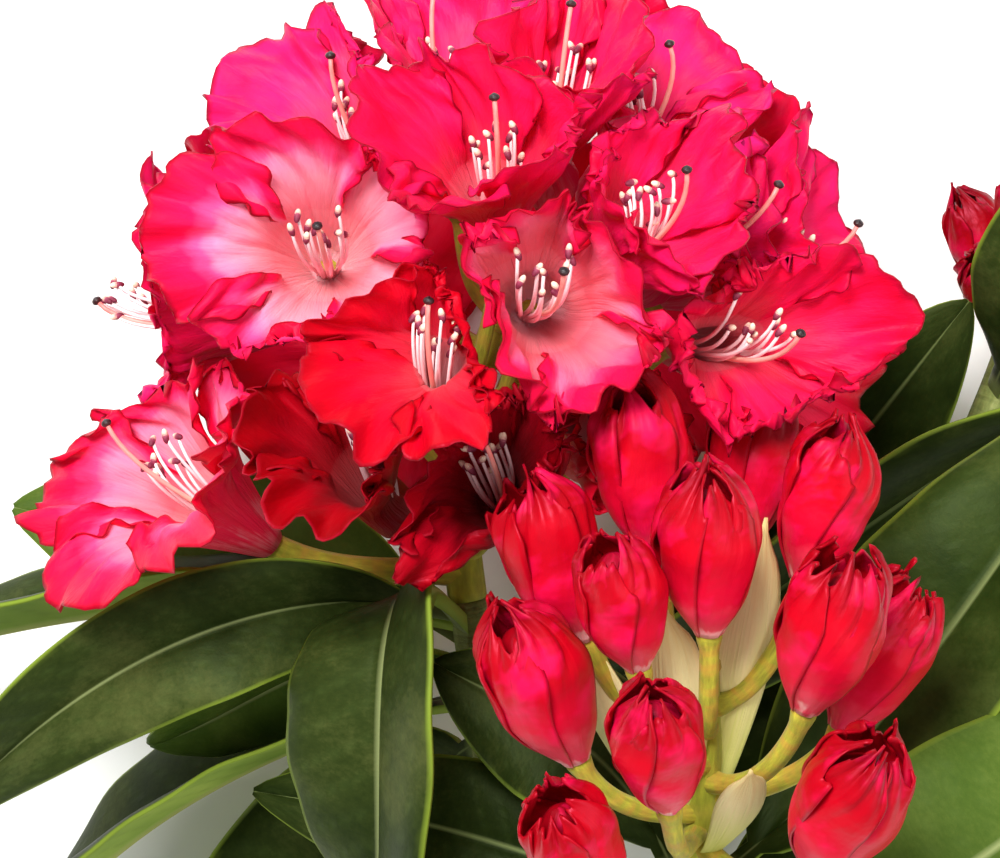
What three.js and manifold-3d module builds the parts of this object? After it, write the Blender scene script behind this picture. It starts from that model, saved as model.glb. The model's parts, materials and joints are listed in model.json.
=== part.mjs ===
// A cut branch of a large-flowered rhododendron, lying on its side on a level surface.
// Its main shoot ends in a dome of open, frilled flowers, its near shoot in a truss of buds about
// to open, and its far shoot in a small truss still in bud. Each shoot carries a whorl of leathery
// leaves under its truss.
//
// Units are millimetres. +Y is the way the shoots grow, +Z is up from the surface and +X is to the
// right. Every place below is given in that frame. The finished branch is then moved so that it
// rests on z = 0 with the middle of its box over the origin.
import * as THREE from "three";
import { mergeVertices } from "three/addons/utils/BufferGeometryUtils.js";
import Module from "manifold-3d";

const wasm = await Module();
wasm.setup();

// ---------------------------------------------------------------- driving dimensions

const SEAT_GAP = 0.3; // clear gap between a stalk and what carries it
const FLOOR = 0.4; // lowest height that a petal or leaf is pressed to
const FINEST = 0.03; // slivers that a cut leaves are tidied away below this size

const WOOD = { cutRadius: 6.4, forkRadius: 5.4, shootRadius: 4.1, sides: 8, steps: 5 };
const TRUSS_STALK = { footRadius: 4.3, tipRadius: 2.4, sides: 8, steps: 4 };

const COROLLA = {
  lobes: 5,
  baseRadius: 3.3, // of the tube's floor, on the calyx
  tubeLength: 19,
  lobeLength: 33,
  tubeAngle: 20, // degrees that the tube opens from its axis
  fullFlare: 108, // degrees from the axis at the tip of a wide-open lobe
  mouthShare: 0.8, // how far along a lobe the flower's mouth is measured
  thickness: 0.6,
  fill: 0.9, // share of its fifth of the circle that a lobe takes
  rounding: 0.22, // share of its length by which a lobe's corners are rounded back
  ruffle: 2.8, // height of the waves at the margin
  cup: 3.2, // rise of a lobe's sides above its middle
};
const PEDICEL = { radius: 1.6, calyxRadius: 2.6, calyxShare: 0.74, sunk: 1.5, sides: 5, steps: 3 };
const PISTIL = { length: 50, radius: 0.7, stigmaRadius: 1.4 };
const STAMEN = { count: 2, length: 41, radius: 0.6, antherRadius: 1.1, fan: 110, lean: 8 };
const FILAMENT = { sides: 3, steps: 3 };

// The room that a flower or bud holds against its neighbours, for one of size 1.
const ROOM = {
  mouth: 28, // reach of a wide-open flower round its mouth
  closedShare: 0.4, // of that reach, in a flower that is still closed
  tube: [{ along: 8, reach: 8 }, { along: 22, reach: 15 }],
  bud: [{ along: 10, reach: 11.6 }, { along: 28, reach: 11.6 }],
  farthest: 90, // distance past which two neighbours never meet
  softness: 5, // distance over which a petal gives way to its neighbour
  clearance: 0.75, // least distance from a petal's middle to the border with its neighbour
  rounds: 5,
};

const BUD = { length: 35, radius: 10.2, sides: 8, fold: 0.07, lean: 0.9 };
// A bud's girth at places along it, as shares of its radius and its length.
const BUD_GIRTHS = [[0, 0.28], [0.18, 0.68], [0.4, 0.93], [0.62, 1], [0.86, 0.84], [1, 0.44]];
const FAR_BUD = { length: 27, radius: 7.4, sides: 6, out: 4.5, lean: 0.55, ringed: 4 };
const BRACT = { lift: 12, thickness: 0.7, cup: 0.35, rows: 4, cells: 2 }; // lift turns their backs up
const LEAF = {
  thickness: 1.6,
  petioleWidth: 3.4,
  petioleThickness: 3,
  petioleShare: 0.13, // of the midrib, before the blade begins
  curl: 0.14, // how far the margins roll back, as a share of the half width
  wave: 1.6,
  stations: [0, 0.13, 0.24, 0.42, 0.62, 0.82, 1],
  cells: 4,
};
// The shares of a stalk's length between which its flowers or buds leave it.
const FLOWER_FEET = [0.1, 0.97];
const BUD_FEET = [0.12, 0.95];

// ---------------------------------------------------------------- the plan of the branch

const STEM = { from: [24, -232, 6.4], bend: [18, -180, 25], to: [10, -138, 42] };
const MAIN_SHOOT_TIP = [-7, -37, 71]; // this shoot carries straight on from the stem
const SIDE_SHOOTS = {
  near_shoot: { from: [12, -150, 38], bend: [34, -128, 66], to: [40, -94, 97] },
  far_shoot: { from: [16, -172, 29], bend: [70, -110, 12], to: [118, 16, 15] },
};
const STALKS = {
  main_truss_stalk: { shoot: "main_shoot", to: [1, 30, 80] },
  near_truss_stalk: { shoot: "near_shoot", to: [42, -46, 121] },
  far_truss_stalk: { shoot: "far_shoot", to: [121, 38, 24] },
};

// Each open flower: the middle of its mouth, the way it faces (degrees to the right of up, and
// towards the shoot's tip), its size, how far it is open, and the turn of its lobes in degrees.
const FLOWERS = {
  flower_front_left: { mouth: [-37, 38, 115], right: 0, rise: 6, size: 1.02, open: 0.88, turn: 14 },
  flower_front_right: { mouth: [10, 28, 138], right: 6, rise: 4, size: 1.2, open: 0.9, turn: 0 },
  flower_low_left: { mouth: [-73, -7, 98], right: -50, rise: 30, size: 1.04, open: 0.72, turn: 30 },
  flower_low_left_inner: { mouth: [-28, 2, 119], right: -10, rise: 36, size: 1.04, open: 0.5, turn: 20 },
  flower_low_middle: { mouth: [-14, 18, 136], right: -4, rise: 32, size: 0.98, open: 0.62, turn: -8 },
  flower_low_front: { mouth: [-2, -7, 123], right: -4, rise: 14, size: 1.04, open: 0.64, turn: 24 },
  flower_high_front: { mouth: [-1, 57, 131], right: -2, rise: 32, size: 1.04, open: 0.76, turn: 6 },
  flower_top: { mouth: [13, 75, 109], right: 6, rise: 50, size: 1.06, open: 0.76, turn: -14 },
  flower_right_front: { mouth: [32, 44, 129], right: 22, rise: 24, size: 1.06, open: 0.8, turn: 18 },
  flower_right_low: { mouth: [53, 18, 121], right: 24, rise: 0, size: 1.1, open: 0.82, turn: -10 },
  flower_right_side: { mouth: [63, 38, 92], right: 62, rise: 16, size: 1, open: 0.8, turn: 4 },
  flower_right_under: { mouth: [65, 13, 88], right: 61, rise: -8, size: 1, open: 0.76, turn: 28 },
  flower_high_left: { mouth: [-32, 68, 94], right: -22, rise: 40, size: 0.96, open: 0.8, turn: 0 },
  flower_left_side: { mouth: [-72, 26, 71], right: -86, rise: 2, size: 1.02, open: 0.84, turn: 16 },
  flower_high_right: { mouth: [31, 69, 98], right: 28, rise: 44, size: 1.02, open: 0.78, turn: 36 },
  flower_right_upper: { mouth: [48, 43, 108], right: 44, rise: 26, size: 1, open: 0.78, turn: -20 },
  flower_low_right: { mouth: [26, -1, 108], right: 18, rise: 12, size: 0.92, open: 0.6, turn: 10 },
  flower_top_left: { mouth: [-13, 78, 95], right: -12, rise: 58, size: 1.08, open: 0.74, turn: -6 },
  flower_back_top: { mouth: [8, 84, 52], right: 170, rise: 66, size: 0.98, open: 0.74, turn: 14 },
  flower_back_high_left: { mouth: [-52, 58, 42], right: -118, rise: 34, size: 1, open: 0.82, turn: 8 },
  flower_back_high_right: { mouth: [54, 58, 46], right: 116, rise: 32, size: 1, open: 0.82, turn: -12 },
  flower_back_left: { mouth: [-30, 20, 16], right: -150, rise: 2, size: 1.1, open: 0.84, turn: 26 },
  flower_back_right: { mouth: [27, 28, 14], right: 152, rise: 6, size: 1.1, open: 0.84, turn: 2 },
};

// Each bud of the near truss: the middle of the bud, and its size against BUD.
const BUDS = {
  bud_top: { middle: [29, -8, 127], size: 1.02 },
  bud_left_upper: { middle: [11, -26, 131], size: 1.04 },
  bud_front_upper: { middle: [41, -24, 147], size: 1.04 },
  bud_front_left: { middle: [24, -34, 151], size: 0.88 },
  bud_left_lower: { middle: [8, -51, 138], size: 1.08 },
  bud_front_lower: { middle: [31, -62, 159], size: 0.94 },
  bud_right_front: { middle: [65, -40, 148], size: 1.06 },
  bud_right_back: { middle: [66, -15, 126], size: 0.96 },
  bud_right_side: { middle: [77, -46, 124], size: 1.0 },
  bud_right_lower: { middle: [68, -74, 152], size: 1.1 },
  bud_left_bottom: { middle: [15, -82, 150], size: 0.94 },
  bud_top_back: { middle: [52, -8, 108], size: 0.94 },
};

// Each scale of the near truss: where it leaves the stalk, a point that its middle passes, its tip
// and its width.
const BRACTS = {
  front: { along: 0.1, through: [35, -62, 126], tip: [33, -35, 133], width: 14 },
  left: { along: 0.08, through: [22, -67, 119], tip: [14, -40, 124], width: 15 },
  right: { along: 0.12, through: [51, -56, 121], tip: [54, -18, 126], width: 13 },
  right_low: { along: 0.04, through: [50, -82, 125], tip: [50, -68, 140], width: 10 },
};

// Each leaf: the shoot it grows from and how far along, the points that its midrib passes a third
// and two thirds of the way on, its tip, the way its upper face looks, its width, and how steeply
// its halves fold up, in degrees.
const LEAVES = {
  leaf_left_front: {
    shoot: "main_shoot", along: 0.97, through: [[-43, -38, 83.5], [-83, -53, 84]], tip: [-126, -89, 48],
    up: [-0.1, -0.2, 1], width: 33, fold: 30,
  },
  leaf_left_back: {
    shoot: "main_shoot", along: 0.9, through: [[-40, -32, 46], [-76, -24, 38]], tip: [-110, -18, 38],
    up: [0.1, 0.4, 1], width: 40, fold: 12,
  },
  leaf_left_middle: {
    shoot: "main_shoot", along: 0.94, through: [[-52, -38, 64], [-98, -42, 60]], tip: [-146, -54, 44],
    up: [0, 1, 0.15], width: 42, fold: 36,
  },
  leaf_front: {
    shoot: "main_shoot", along: 0.92, through: [[-22, -38, 101], [-25, -72, 107]], tip: [-27, -112, 76],
    up: [-1, 0.1, 1], width: 50, fold: 24,
  },
  leaf_low_left: {
    shoot: "main_shoot", along: 0.84, through: [[-32, -50, 62], [-56, -60, 58]], tip: [-78, -70, 50],
    up: [0.2, -0.8, 0.9], width: 32, fold: 18,
  },
  leaf_bottom_left: {
    shoot: "main_shoot", along: 0.78, through: [[-38, -68, 50], [-78, -89, 36]], tip: [-113, -124, 1.2],
    up: [-0.1, 0.9, 0.4], width: 46, fold: 34,
  },
  leaf_bottom: {
    shoot: "main_shoot", along: 0.7, through: [[-20, -82, 34], [-48, -108, 24]], tip: [-84, -148, 1.2],
    up: [-0.1, 0.2, 1], width: 46, fold: 14,
  },
  leaf_right_back: {
    shoot: "main_shoot", along: 0.72, through: [[36, -52, 20], [74, -13, 22]], tip: [106, 29, 38],
    up: [0.1, -0.1, 1], width: 42, fold: 8,
  },
  leaf_right_middle: {
    shoot: "main_shoot", along: 0.82, through: [[46, -64, 32], [92, -36, 33]], tip: [134, -12, 36],
    up: [0, 0.1, 1], width: 44, fold: 12,
  },
  leaf_right_front: {
    shoot: "main_shoot", along: 0.9, through: [[38, -50, 52], [88, -17, 50]], tip: [132, 2, 56],
    up: [0.1, -0.7, 1], width: 42, fold: 30,
  },
  near_leaf_low_right: {
    shoot: "near_shoot", along: 0.94, through: [[74, -102, 112], [110, -81, 112]], tip: [148, -56, 86],
    up: [-0.2, 0.3, 1], width: 54, fold: 14,
  },
  near_leaf_up_right: {
    shoot: "near_shoot", along: 0.88, through: [[76, -70, 80], [104, -33, 84]], tip: [136, 8, 72],
    up: [-0.5, 0.5, 1], width: 56, fold: 28,
  },
  near_leaf_right: {
    shoot: "near_shoot", along: 0.8, through: [[72, -92, 68], [112, -76, 60]], tip: [152, -58, 34],
    up: [0, 0.1, 1], width: 46, fold: 10,
  },
  near_leaf_left: {
    shoot: "near_shoot", along: 0.92, through: [[25, -74, 95], [8, -61, 91]], tip: [-14, -50, 86],
    up: [0, 0.1, 1], width: 34, fold: 10,
  },
  near_leaf_left_low: {
    shoot: "near_shoot", along: 0.86, through: [[14, -94, 82], [-14, -86, 76]], tip: [-54, -80, 60],
    up: [0, 0.2, 1], width: 34, fold: 12,
  },
  near_leaf_down: {
    shoot: "near_shoot", along: 0.94, through: [[24, -114, 98], [0, -122, 92]], tip: [-36, -144, 66],
    up: [-0.2, 0.4, 1], width: 42, fold: 16,
  },
  far_leaf_front: {
    shoot: "far_shoot", along: 0.97, through: [[117, 24, 52], [130, 46, 66]], tip: [162, 74, 54],
    up: [-0.3, 0.1, 1], width: 36, fold: 14,
  },
  far_leaf_right: {
    shoot: "far_shoot", along: 0.92, through: [[140, 6, 12], [172, 10, 14]], tip: [206, 4, 1.2],
    up: [0, 0.2, 1], width: 42, fold: 12,
  },
};

// ---------------------------------------------------------------- small helpers

const vector = (p) => new THREE.Vector3(...p);
const [X_AXIS, Y_AXIS, Z_AXIS] = [vector([1, 0, 0]), vector([0, 1, 0]), vector([0, 0, 1])];
const radians = THREE.MathUtils.degToRad;
const lerp = THREE.MathUtils.lerp;
const ramp = (x, low, high) => THREE.MathUtils.smoothstep(x, low, high);

// A repeatable stream of numbers from 0 to 1.
function seeded(seed) {
  let state = seed >>> 0;
  return () => {
    state = (Math.imul(state, 1664525) + 1013904223) >>> 0;
    return state / 2 ** 32;
  };
}

// A unit vector square to `along` that is as near to `wanted` as it can be.
function squareTo(along, wanted) {
  return wanted.clone().addScaledVector(along, -wanted.dot(along)).normalize();
}

function geometryFrom(points, faces) {
  const geometry = new THREE.BufferGeometry();
  const places = points.flatMap((p) => p.toArray());
  geometry.setAttribute("position", new THREE.Float32BufferAttribute(places, 3));
  geometry.setIndex(faces.flat());
  return geometry;
}

function solidFrom(geometry) {
  const bare = geometry.clone();
  bare.deleteAttribute("normal");
  bare.deleteAttribute("uv");
  const merged = mergeVertices(bare, 1e-4);
  const mesh = new wasm.Mesh({
    numProp: 3,
    vertProperties: Float32Array.from(merged.attributes.position.array),
    triVerts: Uint32Array.from(merged.index.array),
  });
  return new wasm.Manifold(mesh);
}

function meshFrom(name, solid, material) {
  const { numProp, numVert, vertProperties, triVerts } = solid.simplify(FINEST).getMesh();
  const points = [];
  for (let i = 0; i < numVert; i++) {
    points.push(new THREE.Vector3(...vertProperties.subarray(i * numProp, i * numProp + 3)));
  }
  const geometry = geometryFrom(points, [...triVerts]);
  geometry.computeVertexNormals();
  const mesh = new THREE.Mesh(geometry, material);
  mesh.name = name;
  return mesh;
}

const united = (solids) => solids.reduce((whole, next) => whole.add(next));

// The largest body of a solid, without the scraps that a cut leaves.
function largest(solid) {
  return solid.decompose().reduce((best, next) => (next.volume() > best.volume() ? next : best));
}

// The cubic curve from `foot` to `tip` that passes `a` a third and `b` two thirds of the way on.
function curveThrough(foot, a, b, tip) {
  const mix = (...shares) =>
    [foot, a, b, tip].reduce((sum, p, i) => sum.addScaledVector(p, shares[i]), new THREE.Vector3());
  const [first, second] = [mix(-5 / 6, 3, -3 / 2, 1 / 3), mix(1 / 3, -3 / 2, 3, -5 / 6)];
  return new THREE.CubicBezierCurve3(foot.clone(), first, second, tip.clone());
}

// A closed solid through rings of equally many points, each turning right-handed about the way on.
function loft(rings) {
  const sides = rings[0].length;
  const last = (rings.length - 1) * sides;
  const faces = [];
  for (let r = 0; r + 1 < rings.length; r++) {
    for (let i = 0; i < sides; i++) {
      const [a, b] = [r * sides + i, r * sides + ((i + 1) % sides)];
      faces.push([a, b, b + sides], [a, b + sides, a + sides]);
    }
  }
  for (let i = 1; i + 1 < sides; i++) faces.push([0, i + 1, i], [last, last + i, last + i + 1]);
  return solidFrom(geometryFrom(rings.flat(), faces));
}

// A round limb along a curve. `radiusAt` gives its radius from 0, the foot, to 1, the tip.
function limb(curve, radiusAt, { sides, steps }) {
  const first = curve.getTangent(0);
  let side = squareTo(first, Math.abs(first.y) < 0.9 ? Y_AXIS : X_AXIS);
  const rings = [];
  for (let r = 0; r <= steps; r++) {
    const t = r / steps;
    const along = curve.getTangent(t);
    side = squareTo(along, side);
    const across = along.clone().cross(side);
    rings.push(
      Array.from({ length: sides }, (_, i) => {
        const angle = (2 * Math.PI * i) / sides;
        return curve
          .getPoint(t)
          .addScaledVector(side, Math.cos(angle) * radiusAt(t))
          .addScaledVector(across, Math.sin(angle) * radiusAt(t));
      }),
    );
  }
  return loft(rings);
}

// A closed solid about an open surface. `halfAt` gives half its thickness at each point.
function thicken(points, faces, halfAt) {
  const surface = geometryFrom(points, faces);
  surface.computeVertexNormals();
  const { normal } = surface.attributes;
  const normals = points.map((_, i) => new THREE.Vector3().fromBufferAttribute(normal, i));
  const offset = (sign) =>
    points.map((p, i) => p.clone().addScaledVector(normals[i], sign * halfAt(i)));
  const count = points.length;
  const edges = new Map();
  for (const [a, b, c] of faces) {
    for (const [from, to] of [[a, b], [b, c], [c, a]]) {
      if (!edges.delete(`${to},${from}`)) edges.set(`${from},${to}`, [from, to]);
    }
  }
  const walls = [...edges.values()].flatMap(([a, b]) => [[b, a, a + count], [b, a + count, b + count]]);
  const under = faces.map(([a, b, c]) => [a + count, c + count, b + count]);
  return solidFrom(geometryFrom([...offset(1), ...offset(-1)], [...faces, ...under, ...walls]));
}

// ---------------------------------------------------------------- wood and stalks

const bentCurve = ({ from, bend, to }) =>
  new THREE.QuadraticBezierCurve3(vector(from), vector(bend), vector(to));

// A curve to `to` that carries on from the end of `carrier`, across the seat gap.
function goingOnFrom(carrier, to) {
  const ahead = carrier.getTangent(1);
  const foot = carrier.getPoint(1).addScaledVector(ahead, SEAT_GAP);
  const bend = foot.clone().addScaledVector(ahead, foot.distanceTo(vector(to)) / 2);
  return new THREE.QuadraticBezierCurve3(foot, bend, vector(to));
}

const stemCurve = bentCurve(STEM);
const shoots = {
  main_shoot: goingOnFrom(stemCurve, MAIN_SHOOT_TIP),
  near_shoot: bentCurve(SIDE_SHOOTS.near_shoot),
  far_shoot: bentCurve(SIDE_SHOOTS.far_shoot),
};
const stalks = Object.fromEntries(
  Object.entries(STALKS).map(([name, { shoot, to }]) => [name, goingOnFrom(shoots[shoot], to)]),
);
const stemRadius = (t) => lerp(WOOD.cutRadius, WOOD.forkRadius, t);
const shootRadius = (t) => lerp(WOOD.forkRadius, WOOD.shootRadius, Math.min(1, 1.6 * t));
const stalkRadius = (t) => lerp(TRUSS_STALK.footRadius, TRUSS_STALK.tipRadius, t);

// The same limb made thicker by the seat gap, to cut a seat in what grows from it.
const seat = (curve, radiusAt, form) => limb(curve, (t) => radiusAt(t) + SEAT_GAP, form);

const stem = limb(stemCurve, stemRadius, WOOD);
const stemSeat = seat(stemCurve, stemRadius, WOOD);
const shootSeats = Object.fromEntries(
  Object.entries(shoots).map(([name, curve]) => [name, seat(curve, shootRadius, WOOD)]),
);

function shootSolid(name) {
  const whole = limb(shoots[name], shootRadius, WOOD);
  if (name === "main_shoot") return whole;
  return largest(whole.subtract(stemSeat).subtract(shootSeats.main_shoot));
}

// ---------------------------------------------------------------- flowers

function facing({ right, rise }) {
  const [turn, lift] = [radians(right), radians(rise)];
  const level = Math.cos(lift);
  return new THREE.Vector3(Math.sin(turn) * level, Math.sin(lift), Math.cos(turn) * level);
}

const PETAL_LENGTH = COROLLA.tubeLength + COROLLA.lobeLength;
const NOTCH = COROLLA.tubeLength / PETAL_LENGTH; // where the lobes part, as a share of their length

// The radius, height and slope of a lobe's middle line, `share` of the way from the calyx to its
// tip, for a flare in degrees.
function corollaProfile(share, flare) {
  const bendAt = (at) => radians(lerp(COROLLA.tubeAngle, flare, ramp(at, NOTCH * 0.7, 1)));
  const steps = 24;
  const stride = (share * PETAL_LENGTH) / steps;
  let [radius, height] = [COROLLA.baseRadius, 0];
  for (let i = 0; i < steps; i++) {
    const bend = bendAt(((i + 0.5) / steps) * share);
    radius += Math.sin(bend) * stride;
    height += Math.cos(bend) * stride;
  }
  return { radius, height, bend: bendAt(share) };
}

// The names of a plan's entries, from the lowest to the highest up the truss.
const upwards = (plan, at) => Object.keys(plan).sort((a, b) => plan[a][at][1] - plan[b][at][1]);

// What one flower's lobes and waves depend on, drawn once for each flower.
function bloomPlan(name, index) {
  const flower = FLOWERS[name];
  const random = seeded(index * 7919 + 17);
  const axis = facing(flower);
  const upright = squareTo(axis, Math.abs(axis.y) < 0.93 ? Y_AXIS : Z_AXIS);
  const top = upright.applyAxisAngle(axis, radians(flower.turn));
  const flare = flower.open * COROLLA.fullFlare;
  const lobes = Array.from({ length: COROLLA.lobes }, () => ({
    flare: flare * (0.88 + 0.24 * random()),
    phases: [random(), random()].map((p) => p * 2 * Math.PI),
    cup: COROLLA.cup * (0.4 + 1.2 * random()),
  }));
  const { height } = corollaProfile(COROLLA.mouthShare, flare);
  const base = vector(flower.mouth).addScaledVector(axis, -height * flower.size);
  return { ...flower, name, axis, top, side: top.clone().cross(axis), lobes, base };
}

const blooms = Object.keys(FLOWERS).map((name, i) => bloomPlan(name, i + 1));

// Each bud points away from its place on the stalk and leans towards the stalk's tip.
function budPlan(name, i, names) {
  const { middle, size } = BUDS[name];
  const stalk = stalks.near_truss_stalk;
  const foot = lerp(...BUD_FEET, i / (names.length - 1));
  const away = vector(middle).sub(stalk.getPoint(foot)).normalize();
  const axis = away.addScaledVector(stalk.getTangent(1), BUD.lean).normalize();
  const base = vector(middle).addScaledVector(axis, (-size * BUD.length) / 2);
  return { name, size, foot, axis, base, turn: 1.7 * i };
}

const buds = upwards(BUDS, "middle").map(budPlan);

// The balls of room along the axis of a flower or bud.
const roomAlong = ({ name, base, axis, size }, balls) =>
  balls.map(({ along, reach }) => ({
    name,
    middle: base.clone().addScaledVector(axis, along * size),
    reach: reach * size,
  }));

function roomRoundMouth({ name, mouth, size, open }) {
  return { name, middle: vector(mouth), reach: ROOM.mouth * size * lerp(ROOM.closedShare, 1, open) };
}

const rooms = [
  ...blooms.map(roomRoundMouth),
  ...blooms.flatMap((bloom) => roomAlong(bloom, ROOM.tube)),
  ...buds.flatMap((bud) => roomAlong(bud, ROOM.bud)),
];

// Moves a petal's point back over each border that it nears, so that crowded petals fold up
// along it. The surface that the branch lies on is a border too.
function keptInside(point, name, firmness) {
  const own = rooms.find((room) => room.name === name);
  const { clearance, softness } = ROOM;
  const free = clearance + softness;
  const pressed = (depth) => clearance + softness * Math.exp((depth - free) / softness);
  const give = (depth) => (depth >= free ? depth : pressed(depth));
  for (let round = 0; round < ROOM.rounds; round++) {
    for (const other of rooms) {
      if (other.name === name) continue;
      const away = own.middle.clone().sub(other.middle);
      const gap = away.length();
      if (gap > ROOM.farthest) continue;
      away.divideScalar(gap);
      const border = (gap * other.reach) / (own.reach + other.reach);
      const depth = point.clone().sub(other.middle).dot(away) - border;
      point.addScaledVector(away, (give(depth) - depth) * firmness);
    }
  }
  point.z = FLOOR + give(point.z - FLOOR);
  return point;
}

// A point of a flower's surface: `lobe` from 0 to 4, `across` it from -1 to 1, and `share` of the
// way from the calyx to its margin.
function petalPoint(bloom, lobe, across, share) {
  const { baseRadius, fill, rounding, ruffle } = COROLLA;
  const { flare, phases, cup } = bloom.lobes[lobe];
  const out = Math.max(0, (share - NOTCH) / (1 - NOTCH));
  const margin = 1 - rounding * Math.abs(across) ** 3;
  const reach = share <= NOTCH ? share : lerp(NOTCH, margin, out);
  const { radius, height, bend } = corollaProfile(reach, flare);
  const width = lerp(1, fill, Math.min(1, out * 4));
  const fifth = 360 / COROLLA.lobes;
  const angle = radians(fifth * (lobe + (across / 2) * width));
  const slowWave = Math.sin(1.6 * Math.PI * across + phases[0]);
  const quickWave = Math.sin(2.9 * Math.PI * across + phases[1]);
  const ruffled = ruffle * (0.6 * slowWave + 0.4 * quickWave) * out ** 1.6;
  const cupped = cup * across ** 2 * Math.sin(Math.PI * Math.min(1, out * 0.75));
  const rise = ruffled + cupped;
  const spoke = bloom.top.clone().multiplyScalar(Math.cos(angle));
  spoke.addScaledVector(bloom.side, Math.sin(angle));
  const point = bloom.base
    .clone()
    .addScaledVector(bloom.axis, bloom.size * (height + rise * Math.sin(bend)))
    .addScaledVector(spoke, bloom.size * Math.max(baseRadius, radius - rise * Math.cos(bend)));
  return keptInside(point, bloom.name, ramp(share, 0.12, 0.45));
}

// The corolla: a floor on the calyx, a tube of five fused petals, and their free lobes beyond the
// notches.
function corollaSolid(bloom) {
  const lobes = [...bloom.lobes.keys()];
  const cells = 4;
  const points = lobes.map((lobe) => petalPoint(bloom, lobe, 0, 0));
  const centre = points.push(bloom.base.clone()) - 1;
  const rim = points.length;
  for (const lobe of lobes) {
    points.push(petalPoint(bloom, lobe, -1, NOTCH), petalPoint(bloom, lobe, 0, NOTCH));
  }
  const faces = [];
  for (const lobe of lobes) {
    const next = (lobe + 1) % lobes.length;
    const [left, mid, right] = [rim + 2 * lobe, rim + 2 * lobe + 1, rim + 2 * next];
    const inner = points.length;
    const outer = inner + cells + 1;
    for (const share of [0.68, 1]) {
      for (let i = 0; i <= cells; i++) {
        points.push(petalPoint(bloom, lobe, (2 * i) / cells - 1, share));
      }
    }
    faces.push([centre, lobe, next], [lobe, left, mid], [lobe, mid, right], [lobe, right, next]);
    faces.push([left, inner, inner + 1], [left, inner + 1, mid], [mid, inner + 1, inner + 2]);
    faces.push([mid, inner + 2, inner + 3], [mid, inner + 3, right], [right, inner + 3, inner + 4]);
    for (let i = 0; i < cells; i++) {
      faces.push([inner + i, outer + i, outer + i + 1], [inner + i, outer + i + 1, inner + i + 1]);
    }
  }
  return thicken(points, faces, () => COROLLA.thickness / 2);
}

// The pedicel, from the truss's stalk to the calyx, where the flower or bud sits. `grown` makes it
// thicker all round.
function pedicelSolid(stalk, foot, base, axis, grown = 0) {
  const start = stalk.getPoint(foot);
  const reach = base.distanceTo(start) / 3;
  const outward = squareTo(stalk.getTangent(foot), base.clone().sub(start));
  const curve = new THREE.CubicBezierCurve3(
    start,
    start.clone().addScaledVector(outward, reach),
    base.clone().addScaledVector(axis, -reach),
    base.clone(),
  );
  const { radius, calyxRadius, calyxShare } = PEDICEL;
  return limb(curve, (t) => lerp(radius, calyxRadius, ramp(t, calyxShare, 1)) + grown, PEDICEL);
}

// The line of a filament, along the lower side of the tube and then up at its tip, fanned out by
// `spread` degrees.
function filamentCurve(bloom, length, spread) {
  const fan = bloom.top.clone().multiplyScalar(-1).applyAxisAngle(bloom.axis, radians(spread));
  const at = (along, out, lift) => {
    const point = bloom.base
      .clone()
      .addScaledVector(bloom.axis, bloom.size * along * length)
      .addScaledVector(fan, bloom.size * out)
      .addScaledVector(bloom.top, bloom.size * lift);
    point.z = Math.max(point.z, FLOOR + PISTIL.stigmaRadius);
    return point;
  };
  return new THREE.CubicBezierCurve3(at(0, 1.2, 0), at(0.4, 3, 0), at(0.8, 5.6, -1), at(0.94, 5.6, 7));
}

function reproductiveSolids(bloom) {
  const thread = (curve, radius, tipRadius) =>
    limb(curve, (t) => (t === 1 ? tipRadius : radius), FILAMENT);
  const styleCurve = filamentCurve(bloom, PISTIL.length, 0);
  const stamens = Array.from({ length: STAMEN.count }, (_, i) => {
    const spread = STAMEN.fan * (i / (STAMEN.count - 1) - 0.5) + STAMEN.lean;
    return thread(filamentCurve(bloom, STAMEN.length, spread), STAMEN.radius, STAMEN.antherRadius);
  });
  return [thread(styleCurve, PISTIL.radius, PISTIL.stigmaRadius), ...stamens];
}

// ---------------------------------------------------------------- buds and bracts

// A closed bud: five petals wrapped round each other, with a blunt, crumpled tip.
function budSolid(base, axis, { length, radius, turn, sides }) {
  const top = squareTo(axis, Z_AXIS);
  const side = axis.clone().cross(top);
  const rings = BUD_GIRTHS.map(([share, girth]) =>
    Array.from({ length: sides }, (_, i) => {
      const angle = (2 * Math.PI * i) / sides;
      const wrapped = BUD.fold * share * Math.cos(COROLLA.lobes * angle + turn + 2 * share);
      const out = radius * girth * (1 + wrapped);
      const point = base
        .clone()
        .addScaledVector(axis, length * share)
        .addScaledVector(top, out * Math.cos(angle))
        .addScaledVector(side, out * Math.sin(angle));
      point.z = Math.max(point.z, FLOOR);
      return point;
    }),
  );
  return loft(rings);
}

// A papery scale from the foot of a stalk, cupped towards the stalk's own line.
function bractSolid(stalk, { along, through, tip, width }) {
  const foot = stalk.getPoint(along);
  const curve = new THREE.QuadraticBezierCurve3(foot, vector(through), vector(tip));
  const { rows, cells } = BRACT;
  const [points, faces] = [[], []];
  for (let r = 0; r <= rows; r++) {
    const share = r / rows;
    const ahead = curve.getTangent(share);
    const away = curve.getPoint(share).sub(stalk.getPoint(0.5));
    const out = squareTo(ahead, away.addScaledVector(Z_AXIS, BRACT.lift));
    const half = (width / 2) * Math.sin(Math.PI * (0.06 + 0.86 * share ** 1.6));
    const across = ahead.clone().cross(out);
    for (let i = 0; i <= cells; i++) {
      const t = (2 * i) / cells - 1;
      const point = curve.getPoint(share).addScaledVector(across, half * t);
      points.push(point.addScaledVector(out, -BRACT.cup * half * t * t));
    }
  }
  for (let r = 0; r < rows; r++) {
    for (let i = 0; i < cells; i++) {
      const a = r * (cells + 1) + i;
      faces.push([a, a + 1, a + cells + 2], [a, a + cells + 2, a + cells + 1]);
    }
  }
  return thicken(points, faces, () => BRACT.thickness / 2);
}

// ---------------------------------------------------------------- leaves

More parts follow.
